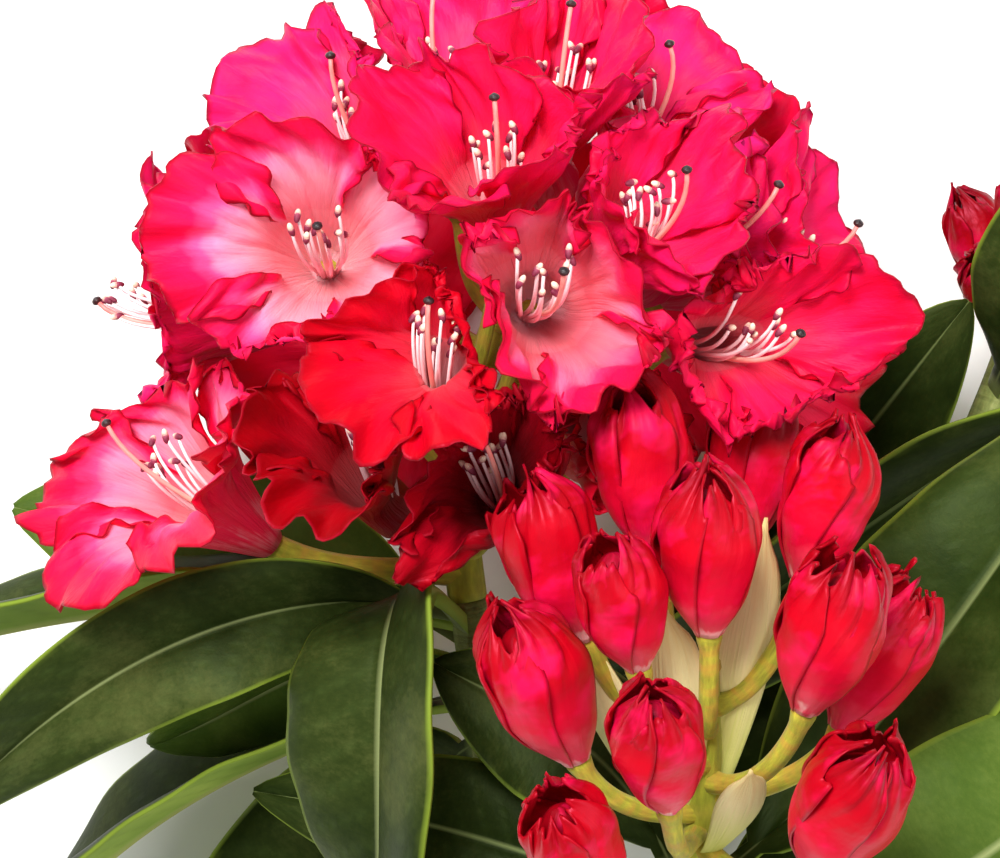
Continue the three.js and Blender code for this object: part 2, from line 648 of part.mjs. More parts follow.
// The half width of a leaf's blade, from 0 at its foot to 1 at its tip, as a share of its greatest.
function bladeShape(share) {
  return Math.max(0.03, Math.sin(Math.PI * share ** 0.95) ** 0.66);
}

function leafCurve({ shoot, along, through, tip }) {
  return curveThrough(shoots[shoot].getPoint(along), ...through.map(vector), vector(tip));
}

// A point of a leaf: `across` from -1 to 1, and `t` from 0 at its foot to 1 at its tip.
function leafPoint(leaf, curve, across, t) {
  const share = Math.max(0, (t - LEAF.petioleShare) / (1 - LEAF.petioleShare));
  const along = curve.getTangent(t);
  const up = squareTo(along, vector(leaf.up));
  const sideways = along.clone().cross(up);
  const shape = bladeShape(share);
  const half = Math.max(LEAF.petioleWidth * (t < 0.5 ? 0.5 : 0.15), (leaf.width / 2) * shape);
  const fold = radians(leaf.fold) * Math.min(1, 3 * shape);
  const swing = Math.sin(2.6 * Math.PI * share + 1.3 * Math.sign(across));
  const wave = LEAF.wave * swing * across ** 4 * shape;
  const rise = half * (Math.sin(fold) * Math.abs(across) - LEAF.curl * across ** 4) + wave;
  const point = curve
    .getPoint(t)
    .addScaledVector(sideways, half * across * Math.cos(fold))
    .addScaledVector(up, rise);
  point.z = Math.max(point.z, FLOOR + LEAF.thickness / 2);
  return point;
}

function leafSolid(leaf) {
  const curve = leafCurve(leaf);
  const { stations, cells } = LEAF;
  const [points, faces] = [[], []];
  for (const t of stations) {
    for (let i = 0; i <= cells; i++) points.push(leafPoint(leaf, curve, (2 * i) / cells - 1, t));
  }
  for (let r = 0; r + 1 < stations.length; r++) {
    for (let i = 0; i < cells; i++) {
      const a = r * (cells + 1) + i;
      faces.push([a, a + 1, a + cells + 2], [a, a + cells + 2, a + cells + 1]);
    }
  }
  const half = (i) => {
    const t = stations[Math.floor(i / (cells + 1))];
    return lerp(LEAF.petioleThickness, LEAF.thickness, ramp(t, 0.1, 0.3)) / 2;
  };
  return largest(thicken(points, faces, half).subtract(shootSeats[leaf.shoot]));
}

// ---------------------------------------------------------------- assembly

const finish = (color, roughness) => new THREE.MeshStandardMaterial({ color, roughness, metalness: 0 });
const materials = {
  wood: finish(0x6b5a3c, 0.85),
  stalk: finish(0x9aa33a, 0.6),
  petal: finish(0xe01238, 0.5),
  bud: finish(0xc80a26, 0.5),
  leaf: finish(0x2d4a1e, 0.4),
};

const branch = new THREE.Group();
branch.name = "rhododendron_branch";

branch.add(meshFrom("main_stem", stem, materials.wood));
for (const name of Object.keys(shoots)) {
  branch.add(meshFrom(name, shootSolid(name), materials.wood));
}

const mainStalk = stalks.main_truss_stalk;
const mainStalkSeat = seat(mainStalk, stalkRadius, TRUSS_STALK);
const mainStalkSolid = limb(mainStalk, stalkRadius, TRUSS_STALK);
branch.add(meshFrom("main_truss_stalk", mainStalkSolid, materials.stalk));

// Higher flowers leave the stalk higher up, so that their pedicels don't cross.
const flowerOrder = upwards(FLOWERS, "mouth");
for (const bloom of blooms) {
  const foot = lerp(...FLOWER_FEET, flowerOrder.indexOf(bloom.name) / (blooms.length - 1));
  const whole = united([
    corollaSolid(bloom),
    pedicelSolid(mainStalk, foot, bloom.base, bloom.axis),
    ...reproductiveSolids(bloom),
  ]);
  branch.add(meshFrom(bloom.name, largest(whole.subtract(mainStalkSeat)), materials.petal));
}

// A closed bud on its pedicel. `grown` makes both thicker all round, to cut room for them.
function budOnStalk(stalk, { base, axis, size, foot, turn }, grown = 0) {
  const [length, radius] = [size * BUD.length + grown, size * BUD.radius + grown];
  const form = { length, radius, turn, sides: BUD.sides };
  const seated = base.clone().addScaledVector(axis, PEDICEL.sunk);
  return budSolid(base, axis, form).add(pedicelSolid(stalk, foot, seated, axis, grown));
}

const nearStalk = stalks.near_truss_stalk;
const nearStalkSeat = seat(nearStalk, stalkRadius, TRUSS_STALK);
for (const bud of buds) {
  const whole = budOnStalk(nearStalk, bud).subtract(nearStalkSeat);
  branch.add(meshFrom(bud.name, largest(whole), materials.bud));
}
const budRoom = united(buds.map((bud) => budOnStalk(nearStalk, bud, SEAT_GAP)));
const scales = Object.values(BRACTS).map((bract) =>
  largest(bractSolid(nearStalk, bract).subtract(budRoom)),
);
const nearStalkWhole = united([limb(nearStalk, stalkRadius, TRUSS_STALK), ...scales]);
const nearStalkSolid = largest(nearStalkWhole.subtract(shootSeats.near_shoot));
branch.add(meshFrom("near_truss_stalk", nearStalkSolid, materials.stalk));

// The far truss is one piece: its buds are still packed together, a ring of them round one more.
const farStalk = stalks.far_truss_stalk;
const farBuds = Array.from({ length: FAR_BUD.ringed + 1 }, (_, i) => {
  const inRing = i < FAR_BUD.ringed;
  const ahead = farStalk.getTangent(1);
  const up = squareTo(ahead, Z_AXIS);
  const out = up.applyAxisAngle(ahead, (2 * Math.PI * (i + 0.5)) / FAR_BUD.ringed);
  if (!inRing) out.set(0, 0, 0);
  const base = farStalk.getPoint(inRing ? 0.6 : 0.95).addScaledVector(out, FAR_BUD.out);
  const axis = ahead.clone().addScaledVector(out, FAR_BUD.lean).normalize();
  return budSolid(base, axis, { ...FAR_BUD, turn: i });
});
const farTruss = united([limb(farStalk, stalkRadius, TRUSS_STALK), ...farBuds]);
branch.add(meshFrom("far_truss", farTruss, materials.bud));

for (const [name, leaf] of Object.entries(LEAVES)) {
  branch.add(meshFrom(name, leafSolid(leaf), materials.leaf));
}

// Rests the branch on z = 0, with the middle of its box over the origin.
const box = new THREE.Box3().setFromObject(branch);
const middle = box.getCenter(new THREE.Vector3());
branch.position.set(-middle.x, -middle.y, -box.min.z);

export default branch;
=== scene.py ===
import json
import math

import bpy
import numpy as np
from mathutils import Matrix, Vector


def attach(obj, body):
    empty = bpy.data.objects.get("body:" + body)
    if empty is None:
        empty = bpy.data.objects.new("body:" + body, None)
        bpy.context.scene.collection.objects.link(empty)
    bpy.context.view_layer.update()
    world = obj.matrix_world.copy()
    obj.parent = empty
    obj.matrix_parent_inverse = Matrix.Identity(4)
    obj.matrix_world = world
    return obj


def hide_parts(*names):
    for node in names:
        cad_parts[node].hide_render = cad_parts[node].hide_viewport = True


# A cut rhododendron branch, lying on its side. The plan below is in millimetres:
# +Y is the way the shoots grow, +Z is up from the surface and +X is to the right.
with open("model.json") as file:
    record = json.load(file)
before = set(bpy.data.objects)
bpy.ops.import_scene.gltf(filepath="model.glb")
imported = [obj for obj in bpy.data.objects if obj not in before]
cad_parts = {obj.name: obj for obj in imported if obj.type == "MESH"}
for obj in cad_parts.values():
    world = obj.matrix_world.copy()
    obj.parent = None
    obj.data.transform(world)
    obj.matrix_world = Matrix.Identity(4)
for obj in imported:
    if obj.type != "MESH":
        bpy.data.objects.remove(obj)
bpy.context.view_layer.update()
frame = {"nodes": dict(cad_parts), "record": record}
cutEnd = np.array([24, -232, 6.4])
mounts = {mount["name"]: mount for mount in frame["record"]["mounts"]}
shift = np.array(mounts["cut_end"]["pos_m"]) * 1000 - cutEnd
print("frame loaded:", len(frame["nodes"]), "nodes")


xAxis, yAxis, zAxis = np.eye(3)


def vec(point):
    return np.array(point, float)


def unit(v):
    return v / np.linalg.norm(v, axis=-1, keepdims=True)


def squareTo(along, wanted):
    return unit(wanted - along * np.sum(wanted * along, -1, keepdims=True))


def mix(a, b, t):
    return a + (b - a) * t


def evenly(count):
    return np.linspace(0, 1, count)


def ramp(x, low, high):
    t = np.clip((x - low) / (high - low), 0, 1)
    return t * t * (3 - 2 * t)


def bell(x, width):
    return np.exp(-(x / width) ** 2)


def turned(angle, a, b):
    # a, turned towards b
    return np.cos(angle)[..., None] * a + np.sin(angle)[..., None] * b


def stream(seed):
    # repeatable numbers from 0 to 1, the same as for the solids
    state = seed % 2**32
    while True:
        state = (state * 1664525 + 1013904223) % 2**32
        yield state / 2**32


def bezier(points, t):
    layers = [np.outer(np.ones_like(t), p) for p in points]
    while len(layers) > 1:
        layers = [a + (b - a) * t[:, None] for a, b in zip(layers, layers[1:])]
    return layers[0]


def bezierAhead(points, t):
    return unit(bezier([b - a for a, b in zip(points, points[1:])], t))


def curveThrough(foot, a, b, tip):
    first = -5 / 6 * foot + 3 * a - 3 / 2 * b + tip / 3
    second = foot / 3 - 3 / 2 * a + 3 * b - 5 / 6 * tip
    return [foot, first, second, tip]


def pointAt(curve, t):
    return bezier(curve, np.array([t]))[0]


def aheadAt(curve, t):
    return bezierAhead(curve, np.array([t]))[0]


def sideOf(ahead):
    return squareTo(ahead, yAxis if abs(ahead[1]) < 0.9 else xAxis)


def anglesOf(sides):
    return np.arange(sides) / sides * 2 * math.pi


def stacked(*values):
    return np.stack(np.broadcast_arrays(*values), -1)


def mapCorners(*corners):
    return np.stack([stacked(*corner) for corner in corners], -2)


capShare = 0.03  # how much of its map each end of a part takes
caps = (0, capShare, 0), (-1, 1 - capShare, 1)
mapGap = 0.004  # left free round each part's share of the map
paintKinds = {1: ("FLOAT", "value"), 3: ("FLOAT_VECTOR", "vector")}


def gridPart(points, look, ends, paint, weight=1):
    # a part: rings of points, its faces with their places on the map, and its paint
    rows, cols = points.shape[:2]
    index = np.arange(rows * cols).reshape(rows, cols)
    beyond = np.roll(index, -1, 1)
    quads = stacked(index[:-1], beyond[:-1], beyond[1:], index[1:]).reshape(-1, 4)
    du, dv = 1 / cols, (1 - 2 * capShare) / (rows - 1)
    u, v = np.meshgrid(np.arange(cols) * du, capShare + np.arange(rows - 1) * dv)
    places = mapCorners((u, v), (u + du, v), (u + du, v + dv), (u, v + dv))
    faces = [(quads, places.reshape(-1, 4, 2))]
    verts, u = points.reshape(-1, 3), u[0]
    paint = {name: values.reshape(rows * cols, -1) for name, values in paint.items()}
    for (row, low, high), end in zip(caps, ends):
        if end is None:
            continue
        sides = (index[row], u), (beyond[row], u + du)
        (a, uA), (b, uB) = sides if row else sides[::-1]
        faces.append((stacked(a, b, len(verts)), mapCorners((uA, low), (uB, low), (u + du / 2, high))))
        verts = np.vstack([verts, end])
        paint = {name: np.vstack([values, values[index[row]].mean(0)]) for name, values in paint.items()}
    return dict(verts=verts, faces=faces, look=look, paint=paint, weight=weight)


def surfaceNormals(points):
    normals = np.cross(np.gradient(points, axis=1), np.gradient(points, axis=0))
    return normals / np.maximum(np.linalg.norm(normals, axis=-1, keepdims=True), 1e-9)


def sheetPart(points, half, look, paint, weight=1):
    # a closed thin sheet: each row runs over the upper face and back under it
    rows, cols = points.shape[:2]
    offset = surfaceNormals(points) * np.broadcast_to(half, (rows, cols))[..., None]
    ring = np.concatenate([points + offset, (points - offset)[:, ::-1]], 1)
    around = {name: np.concatenate([values, values[:, ::-1]], 1) for name, values in paint.items()}
    around["upper"] = np.tile(np.arange(2 * cols) < cols, (rows, 1)) * 1.0
    part = gridPart(ring, look, (None, None), around, weight)
    index = np.arange(rows * 2 * cols).reshape(rows, 2 * cols)
    u = np.arange(cols - 1) / (2 * cols)
    for row, low, high in caps:
        top, under = index[row, :cols], index[row, cols:][::-1]
        sides = (top[:-1], under[:-1], u), (top[1:], under[1:], u + 1 / (2 * cols))
        (topA, underA, uA), (topB, underB, uB) = sides if row else sides[::-1]
        places = mapCorners((uA, low), (uB, low), (uB, high), (uA, high))
        part["faces"].append((stacked(topA, topB, underB, underA), places))
    return part


def limbPart(points, radii, look, sides, seed=0, stretch=1, bumps=0, weight=1, swell=0.5):
    # a round limb: points down its middle, its radii, and bumps (rows, sides) added to them
    ahead = unit(np.gradient(points, axis=0))
    side, angles = sideOf(ahead[0]), anglesOf(sides)
    rings = []
    for p, a, r in zip(points, ahead, radii[:, None] + bumps + np.zeros(sides)):
        side = squareTo(a, side)
        rings.append(p + r[:, None] * turned(angles, side, np.cross(a, side)))
    shares = np.linspace(0, stretch, len(points))
    place = stacked(angles[None] / (2 * math.pi), shares[:, None], seed)
    ends = (points[0] - ahead[0] * radii[0] * swell, points[-1] + ahead[-1] * radii[-1] * swell)
    return gridPart(np.array(rings), look, ends, dict(place=place), weight)


def mapShares(parts, box=(0, 0, 1, 1)):
    # shares the map out between the parts by weight
    if len(parts) == 1:
        parts[0]["box"] = box
        return
    total, half, cut = sum(p["weight"] for p in parts), 0, 0
    while half < total / 2 and cut < len(parts) - 1:
        half += parts[cut]["weight"]
        cut += 1
    x0, y0, x1, y1 = box
    share = half / total
    if x1 - x0 >= y1 - y0:
        middle = mix(x0, x1, share)
        boxes = (x0, y0, middle, y1), (middle, y0, x1, y1)
    else:
        middle = mix(y0, y1, share)
        boxes = (x0, y0, x1, middle), (x0, middle, x1, y1)
    mapShares(parts[:cut], boxes[0])
    mapShares(parts[cut:], boxes[1])


def fill(where, field, values, kind=np.float32):
    where.foreach_set(field, np.concatenate(values).astype(kind).ravel())


def makePiece(node, ending, parts):
    mapShares(sorted(parts, key=lambda p: -p["weight"]))
    starts = np.cumsum([0] + [len(p["verts"]) for p in parts])
    looks = list(dict.fromkeys(p["look"] for p in parts))
    corners, uvs, totals, lookIndex = [], [], [], []
    for p, start in zip(parts, starts):
        x0, y0, x1, y1 = p["box"]
        low, size = np.array([x0, y0]) + mapGap, np.array([x1 - x0, y1 - y0]) - 2 * mapGap
        for faces, places in p["faces"]:
            corners.append((faces + start).ravel())
            uvs.append((low + places * size).reshape(-1, 2))
            totals.append(np.full(len(faces), faces.shape[1]))
            lookIndex.append(np.full(len(faces), looks.index(p["look"])))
    totals = np.concatenate(totals)
    mesh = bpy.data.meshes.new(node + ending)
    mesh.vertices.add(int(starts[-1]))
    fill(mesh.vertices, "co", [(p["verts"] + shift) / 1000 for p in parts])
    mesh.loops.add(int(totals.sum()))
    fill(mesh.loops, "vertex_index", corners, np.int32)
    mesh.polygons.add(len(totals))
    fill(mesh.polygons, "loop_start", [np.cumsum(totals) - totals], np.int32)
    fill(mesh.polygons, "material_index", lookIndex, np.int32)
    mesh.update(calc_edges=True)
    mesh.validate()
    for key in dict.fromkeys(n for p in parts for n in p["paint"]):
        width = next(p["paint"][key].shape[1] for p in parts if key in p["paint"])
        values = [p["paint"].get(key, np.zeros((len(p["verts"]), width))) for p in parts]
        kind, field = paintKinds[width]
        layer = mesh.attributes.new(key, kind, "POINT")
        fill(layer.data, field, values)
    fill(mesh.uv_layers.new(name="OFBake").data, "uv", uvs)
    mesh.shade_smooth()
    piece = bpy.data.objects.new(mesh.name, mesh)
    bpy.context.scene.collection.objects.link(piece)
    for look in looks:
        mesh.materials.append(materials[look])
    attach(piece, "root")
    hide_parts(node)


class Look:
    # a material: its shader, and the nodes that feed it
    def __init__(self, name, specular, **values):
        self.name = name
        self.material = bpy.data.materials.new(name)
        self.material.use_nodes = True
        self.tree = self.material.node_tree
        self.shader = self.tree.nodes["Principled BSDF"]
        self.shader.inputs["Specular IOR Level"].default_value = specular
        for socket, value in values.items():
            self.shader.inputs[socket.replace("_", " ")].default_value = value

    def feed(self, socket, value):
        if isinstance(value, bpy.types.NodeSocket):
            self.tree.links.new(value, socket)
        else:
            socket.default_value = value

    def node(self, kind, inputs, **settings):
        made = self.tree.nodes.new("ShaderNode" + kind)
        for key, value in settings.items():
            setattr(made, key, value)
        for key, value in inputs.items():
            self.feed(made.inputs[key], value)
        return made

    def painted(self, name, field="Fac"):
        return self.node("Attribute", {}, attribute_name=name).outputs[field]

    def along(self):
        return self.node("SeparateXYZ", {0: self.painted("place", "Vector")}).outputs["Y"]

    def times(self, a, b):
        return self.node("Math", {0: a, 1: b}, operation="MULTIPLY").outputs[0]

    def total(self, start, *terms):
        for value, factor in terms:
            start = self.node("Math", {0: value, 1: factor, 2: start}, operation="MULTIPLY_ADD").outputs[0]
        return start

    def remap(self, value, low, high, fromLow=0.3, fromHigh=0.7):
        inputs = {"Value": value, "From Min": fromLow, "From Max": fromHigh, "To Min": low, "To Max": high}
        return self.node("MapRange", inputs).outputs["Result"]

    def noise(self, stretch, detail=3.0, rough=0.55):
        place = self.painted("place", "Vector")
        vector = self.node("VectorMath", {0: place, 1: (*stretch, 1)}, operation="MULTIPLY").outputs[0]
        inputs = {"Vector": vector, "Scale": 1, "Detail": detail, "Roughness": rough}
        return self.node("TexNoise", inputs).outputs["Fac"]

    def ramp(self, factor, stops):
        # each stop: its place, red, green and blue
        made = self.node("ValToRGB", {"Fac": factor})
        elements = made.color_ramp.elements
        while len(elements) < len(stops):
            elements.new(0.5)
        for element, (place, *colour) in zip(elements, stops):
            element.position, element.color = place, (*colour, 1)
        return made.outputs["Color"]

    def blend(self, factor, a, b, way="MIX"):
        a, b = ((*value, 1) if isinstance(value, tuple) else value for value in (a, b))
        return self.node("Mix", {0: factor, 6: a, 7: b}, data_type="RGBA", blend_type=way).outputs[2]

    def layered(self, colour, *layers):
        # each layer: its share, its colour and, if need be, how it is blended
        for share, over, *way in layers:
            colour = self.blend(share, colour, over, *way)
        return colour

    def finish(self, colour, rough, height, strength, distance):
        bump = self.node("Bump", {"Height": height, "Strength": strength, "Distance": distance})
        inputs = {"Base Color": colour, "Roughness": rough, "Normal": bump.outputs["Normal"]}
        for socket, value in inputs.items():
            self.feed(self.shader.inputs[socket], value)
        return self.name, self.material


petalGlow = dict(Specular_Tint=(1, 0.22, 0.36, 1), Subsurface_Radius=(1, 0.15, 0.2))
petalColours = dict(
    paleInside=((0, 0.9, 0.32, 0.36), (0.2, 0.92, 0.36, 0.46), (0.36, 0.93, 0.3, 0.48),
        (0.5, 0.9, 0.08, 0.26), (0.68, 0.82, 0.006, 0.075), (1, 0.66, 0.002, 0.022)),
    deepInside=((0, 0.74, 0.045, 0.075), (0.2, 0.76, 0.012, 0.045), (0.44, 0.78, 0.003, 0.03),
        (0.72, 0.74, 0.0015, 0.018), (1, 0.46, 0.0008, 0.008)),
    outside=((0, 0.8, 0.12, 0.16), (0.05, 0.76, 0.014, 0.045), (0.3, 0.78, 0.003, 0.033),
        (0.8, 0.74, 0.002, 0.02), (1, 0.48, 0.001, 0.008)),
    # below: the throat's own pale pink, painted paler as light in the deep tube, then a painted pink glow and
    # painted shade
    throat=(0.98, 0.66, 0.66), paintedGlow=(0.9, 0.015, 0.22), paintedShade=(0.46, 0.22, 0.22),
    rim=(0.24, 0.0006, 0.007), streak=(1, 0.5, 0.55),
)


def petalMaterial(c=petalColours):
    m = Look("petal", 0.28, Subsurface_Weight=0.12, Subsurface_Scale=0.0025, **petalGlow)
    edge, upper, out, pale, paintedGlow, paintedShade = map(m.painted, ("edge", "upper", "out", "pale", "paintedGlow", "paintedShade"))
    veins, patches, fine = m.noise((13, 1.3), 3.0, 0.6), m.noise((2.2, 2.4)), m.noise((44, 14))
    wander = (veins, 0.2), (patches, 0.4)
    toEdge = m.total(-0.3, (edge, 1), *wander)
    inside = m.blend(pale, m.ramp(toEdge, c["deepInside"]), m.ramp(toEdge, c["paleInside"]))
    # deep in the tube the inside pales to the throat's own pink, painted paler as light in the tube's shade
    throat = m.times(m.remap(out, 0.75, 0, 0, 0.085), upper)
    outside = m.ramp(m.total(-0.3, (out, 1), *wander), c["outside"])
    colour = m.layered(
        m.blend(upper, outside, m.blend(throat, inside, c["throat"])),
        # painted pink glow, as of light through the petal, laid in patches
        (m.times(paintedGlow, m.remap(patches, 0.25, 1)), c["paintedGlow"]),
        # painted shade, darkening flowers that lie under others
        (paintedShade, c["paintedShade"], "MULTIPLY"),
        (m.remap(edge, 0, 0.85, 0.94, 0.995), c["rim"]),
        (m.remap(veins, 0, 0.34, 0.35, 0.72), c["streak"], "MULTIPLY"),
    )
    return m.finish(colour, m.remap(patches, 0.38, 0.56), m.total(veins, (fine, 0.3)), 0.6, 0.0009)


def threadMaterial(name, rough, across, stops):
    # a filament, style or anther: its colour runs along it, with fine mottling
    m = Look(name, 0.4)
    mottle = m.noise((across, 14))
    colour = m.ramp(m.total(-0.25, (m.along(), 1), (mottle, 0.5)), stops)
    return m.finish(colour, m.remap(mottle, rough - 0.1, rough + 0.1), mottle, 0.4, 0.0003)


def stalkMaterial(name, base, flush, flushShare):
    m = Look(name, 0.2, Sheen_Weight=0.1, Sheen_Roughness=0.4)
    streak, cloud, hairs = m.noise((14, 3), 4.0), m.noise((2, 4), 2.0), m.noise((60, 90), 2.0)
    stops = [(at, *(min(1, c * by) for c in base)) for at, by in ((0.25, 0.62), (0.55, 1), (0.8, 1.5))]
    colour = m.blend(m.remap(cloud, 0, flushShare, 0.42, 0.68), m.ramp(streak, stops), flush)
    return m.finish(colour, m.remap(streak, 0.5, 0.72), m.total(streak, (hairs, 0.5)), 0.5, 0.0006)


barkColours = dict(
    brown=((0.25, 0.06, 0.04, 0.02), (0.5, 0.17, 0.12, 0.06), (0.75, 0.34, 0.27, 0.16)),
    young=((0.25, 0.1, 0.13, 0.03), (0.55, 0.2, 0.24, 0.06), (0.8, 0.34, 0.36, 0.14)),
    ring=(0.35, 0.3, 0.25),
)


def barkMaterial(c=barkColours):
    m = Look("bark", 0.25)
    streak, rings = m.noise((9, 11), 5.0, 0.65), m.noise((1.5, 46))
    colour = m.blend(m.painted("green"), m.ramp(streak, c["brown"]), m.ramp(streak, c["young"]))
    colour = m.blend(m.remap(rings, 0, 0.5, 0.52, 0.7), colour, c["ring"], "MULTIPLY")
    return m.finish(colour, m.remap(streak, 0.68, 0.9), m.total(streak, (rings, -0.6)), 0.8, 0.0012)


cutColours = dict(
    wood=(0.62, 0.52, 0.3), ring=(0.34, 0.24, 0.11), pith=(0.42, 0.26, 0.1), rind=(0.16, 0.2, 0.05))


def cutWoodMaterial(c=cutColours):
    m = Look("cut_wood", 0.2)
    wobble = m.noise((5, 5))
    radius = m.total(m.along(), (wobble, 0.06))
    wave = m.node("Math", {0: m.times(radius, 58.0)}, operation="SINE").outputs[0]
    colour = m.layered(
        c["wood"], (m.remap(wave, 0, 0.45, -1, 1), c["ring"]),
        (m.remap(radius, 1, 0, 0.14, 0.2), c["pith"]), (m.remap(radius, 0, 1, 0.88, 0.95), c["rind"]),
    )
    return m.finish(colour, 0.75, m.total(wave, (wobble, 1)), 0.3, 0.0003)


leafColours = dict(
    dark=((0.3, 0.008, 0.016, 0.003), (0.5, 0.024, 0.036, 0.007), (0.72, 0.072, 0.084, 0.022)),
    bright=((0.3, 0.05, 0.11, 0.012), (0.7, 0.12, 0.2, 0.025)),
    under=((0.3, 0.16, 0.26, 0.035), (0.7, 0.3, 0.4, 0.07)),
    # the last colour of the next line is painted shade, multiplied in
    vein=(0.09, 0.14, 0.035), rib=(0.26, 0.3, 0.12), paintedLeafShade=(0.42, 0.46, 0.34),
    underVein=(0.12, 0.18, 0.03), underRib=(0.46, 0.46, 0.15), margin=(0.21, 0.29, 0.03),
)


def leafMaterial(c=leafColours):
    m = Look("leaf", 0.07, Specular_Tint=(0.8, 1, 0.5, 1))
    names = ("upper", "rib", "vein", "margin", "young", "paintedLeafShade")
    upper, rib, vein, margin, young, paintedLeafShade = map(m.painted, names)
    cloud, grain = m.noise((1.6, 3.2)), m.noise((30, 60), 4.0, 0.65)
    tone = m.total(0, (cloud, 0.75), (grain, 0.25))
    face = m.layered(
        m.ramp(tone, c["dark"]), (young, m.ramp(tone, c["bright"])), (m.times(vein, 0.12), c["vein"]),
        # the multiplied layer is painted shade: on leaves in shade, and at each leaf's foot
        (m.remap(rib, 0, 0.8, 0.5, 1), c["rib"]), (paintedLeafShade, c["paintedLeafShade"], "MULTIPLY"),
    )
    under = m.layered(
        m.ramp(cloud, c["under"]), (m.times(vein, 0.3), c["underVein"]), (m.times(rib, 0.8), c["underRib"]))
    colour = m.layered(under, (upper, face), (m.times(margin, 0.8), c["margin"]))
    rough = m.node("Mix", {0: upper, 2: 0.68, 3: m.remap(cloud, 0.36, 0.5)}).outputs[0]
    return m.finish(colour, rough, m.total(0, (grain, 0.35), (vein, -0.4)), 0.35, 0.0005)


budColours = dict(
    along=((0, 0.92, 0.4, 0.4), (0.05, 0.8, 0.05, 0.1), (0.25, 0.64, 0.0025, 0.03),
        (0.6, 0.52, 0.0012, 0.01), (0.85, 0.34, 0.001, 0.006), (1, 0.2, 0.001, 0.005)),
    # next: a painted highlight colour, painted shade for the petals' edges and creases, and a darkening
    paintedHighlight=(0.8, 0.005, 0.075), edge=(0.3, 0.0008, 0.006), dark=(0.45, 0.4, 0.4),
)


def budMaterial(c=budColours):
    m = Look("bud", 0.35, Subsurface_Weight=0.1, Subsurface_Scale=0.002, **petalGlow)
    out, edge, dark = map(m.painted, ("out", "edge", "dark"))
    veins, patches = m.noise((9, 1.5), 3.0, 0.5), m.noise((1.8, 2.6), 3.0, 0.6)
    colour = m.layered(
        m.ramp(m.total(-0.25, (out, 1), (patches, 0.5)), c["along"]),
        # painted highlight, pinkish, laid in patches
        (m.remap(patches, 0, 0.85, 0.5, 0.68), c["paintedHighlight"]),
        # painted shade along the petals' lapped edges, tips and creases
        (m.remap(edge, 0, 0.75, 0.72, 0.98), c["edge"]),
        (dark, c["dark"], "MULTIPLY"),
    )
    return m.finish(colour, m.remap(patches, 0.34, 0.5), m.total(patches, (veins, 0.35)), 0.5, 0.0012)


scaleColours = dict(
    along=((0, 0.46, 0.56, 0.09), (0.3, 0.72, 0.72, 0.2), (0.7, 0.92, 0.82, 0.42),
        (1, 0.8, 0.7, 0.24)),
    flush=(0.92, 0.55, 0.34),
)


def scaleMaterial(c=scaleColours):
    m = Look("scale", 0.2)
    veins = m.noise((13, 1.6), 4.0, 0.6)
    colour = m.ramp(m.total(-0.25, (m.painted("out"), 1), (veins, 0.5)), c["along"])
    blush = m.times(m.painted("flush"), m.remap(veins, 0.1, 0.8))
    colour = m.blend(blush, colour, c["flush"])
    return m.finish(colour, m.remap(veins, 0.48, 0.66), veins, 0.6, 0.0009)


threadLooks = {  # how rough it is, how fine its mottling, and its colour from foot to tip
    "filament": (0.45, 9, ((0, 0.9, 0.34, 0.38), (0.45, 0.95, 0.66, 0.68), (1, 0.97, 0.8, 0.8))),
    "anther": (0.6, 4, (
        (0.2, 0.16, 0.01, 0.035), (0.52, 0.3, 0.04, 0.09), (0.64, 0.68, 0.4, 0.32), (0.9, 0.9, 0.74, 0.56))),
    "style": (0.45, 9, ((0, 0.8, 0.7, 0.4), (0.5, 0.92, 0.48, 0.4), (1, 0.86, 0.2, 0.18))),
    "stigma": (0.35, 9, ((0, 0.05, 0.012, 0.012), (1, 0.012, 0.006, 0.008))),
}
materials = dict((
    petalMaterial(),
    *(threadMaterial(name, *look) for name, look in threadLooks.items()),
    stalkMaterial("pedicel", (0.42, 0.4, 0.035), (0.66, 0.28, 0.05), 0.5),
    stalkMaterial("stalk", (0.38, 0.4, 0.035), (0.6, 0.44, 0.07), 0.4),
    barkMaterial(), cutWoodMaterial(), leafMaterial(), budMaterial(), scaleMaterial(),
))
print("materials made")


seatGap = 0.3
wood = dict(cutRadius=6.4, forkRadius=5.4, shootRadius=4.1)
stemCurve = [cutEnd, vec((18, -180, 25)), vec((10, -138, 42))]


def goingOnFrom(carrier, to):
    ahead = aheadAt(carrier, 1)
    foot = carrier[-1] + ahead * seatGap
    return [foot, foot + ahead * np.linalg.norm(vec(to) - foot) / 2, vec(to)]


shoots = {
    "main_shoot": goingOnFrom(stemCurve, (-7, -37, 71)),
    "near_shoot": [vec((12, -150, 38)), vec((34, -128, 66)), vec((40, -94, 97))],
    "far_shoot": [vec((16, -172, 29)), vec((70, -110, 12)), vec((118, 16, 15))],
}
stalks = {
    "main": goingOnFrom(shoots["main_shoot"], (1, 30, 80)),
    "near": goingOnFrom(shoots["near_shoot"], (42, -46, 121)),
    "far": goingOnFrom(shoots["far_shoot"], (121, 38, 24)),
}

corolla = dict(
    baseRadius=3.3, tubeLength=19, lobeLength=33, tubeAngle=20, fullFlare=108, mouthShare=0.8,
    rounding=0.26, ruffle=2.8, cup=3.2,
    widening=0.28,  # how far a lobe's sides reach over its neighbours'
    lap=1.25,  # mm that one side lies over, and the other under
    half=0.22,  # half the thickness of a petal
    frill=2.6, crimp=0.8,  # heights of the long and the short waves at the margin
    pucker=0.75, sideFrill=1.2, groove=0.5,  # heights on the blade, at its sides and along its middle
    recurve=2.4, teeth=0.024, rows=32, tubeRows=9, cols=41,
)
petalLength = corolla["tubeLength"] + corolla["lobeLength"]
notch = corolla["tubeLength"] / petalLength
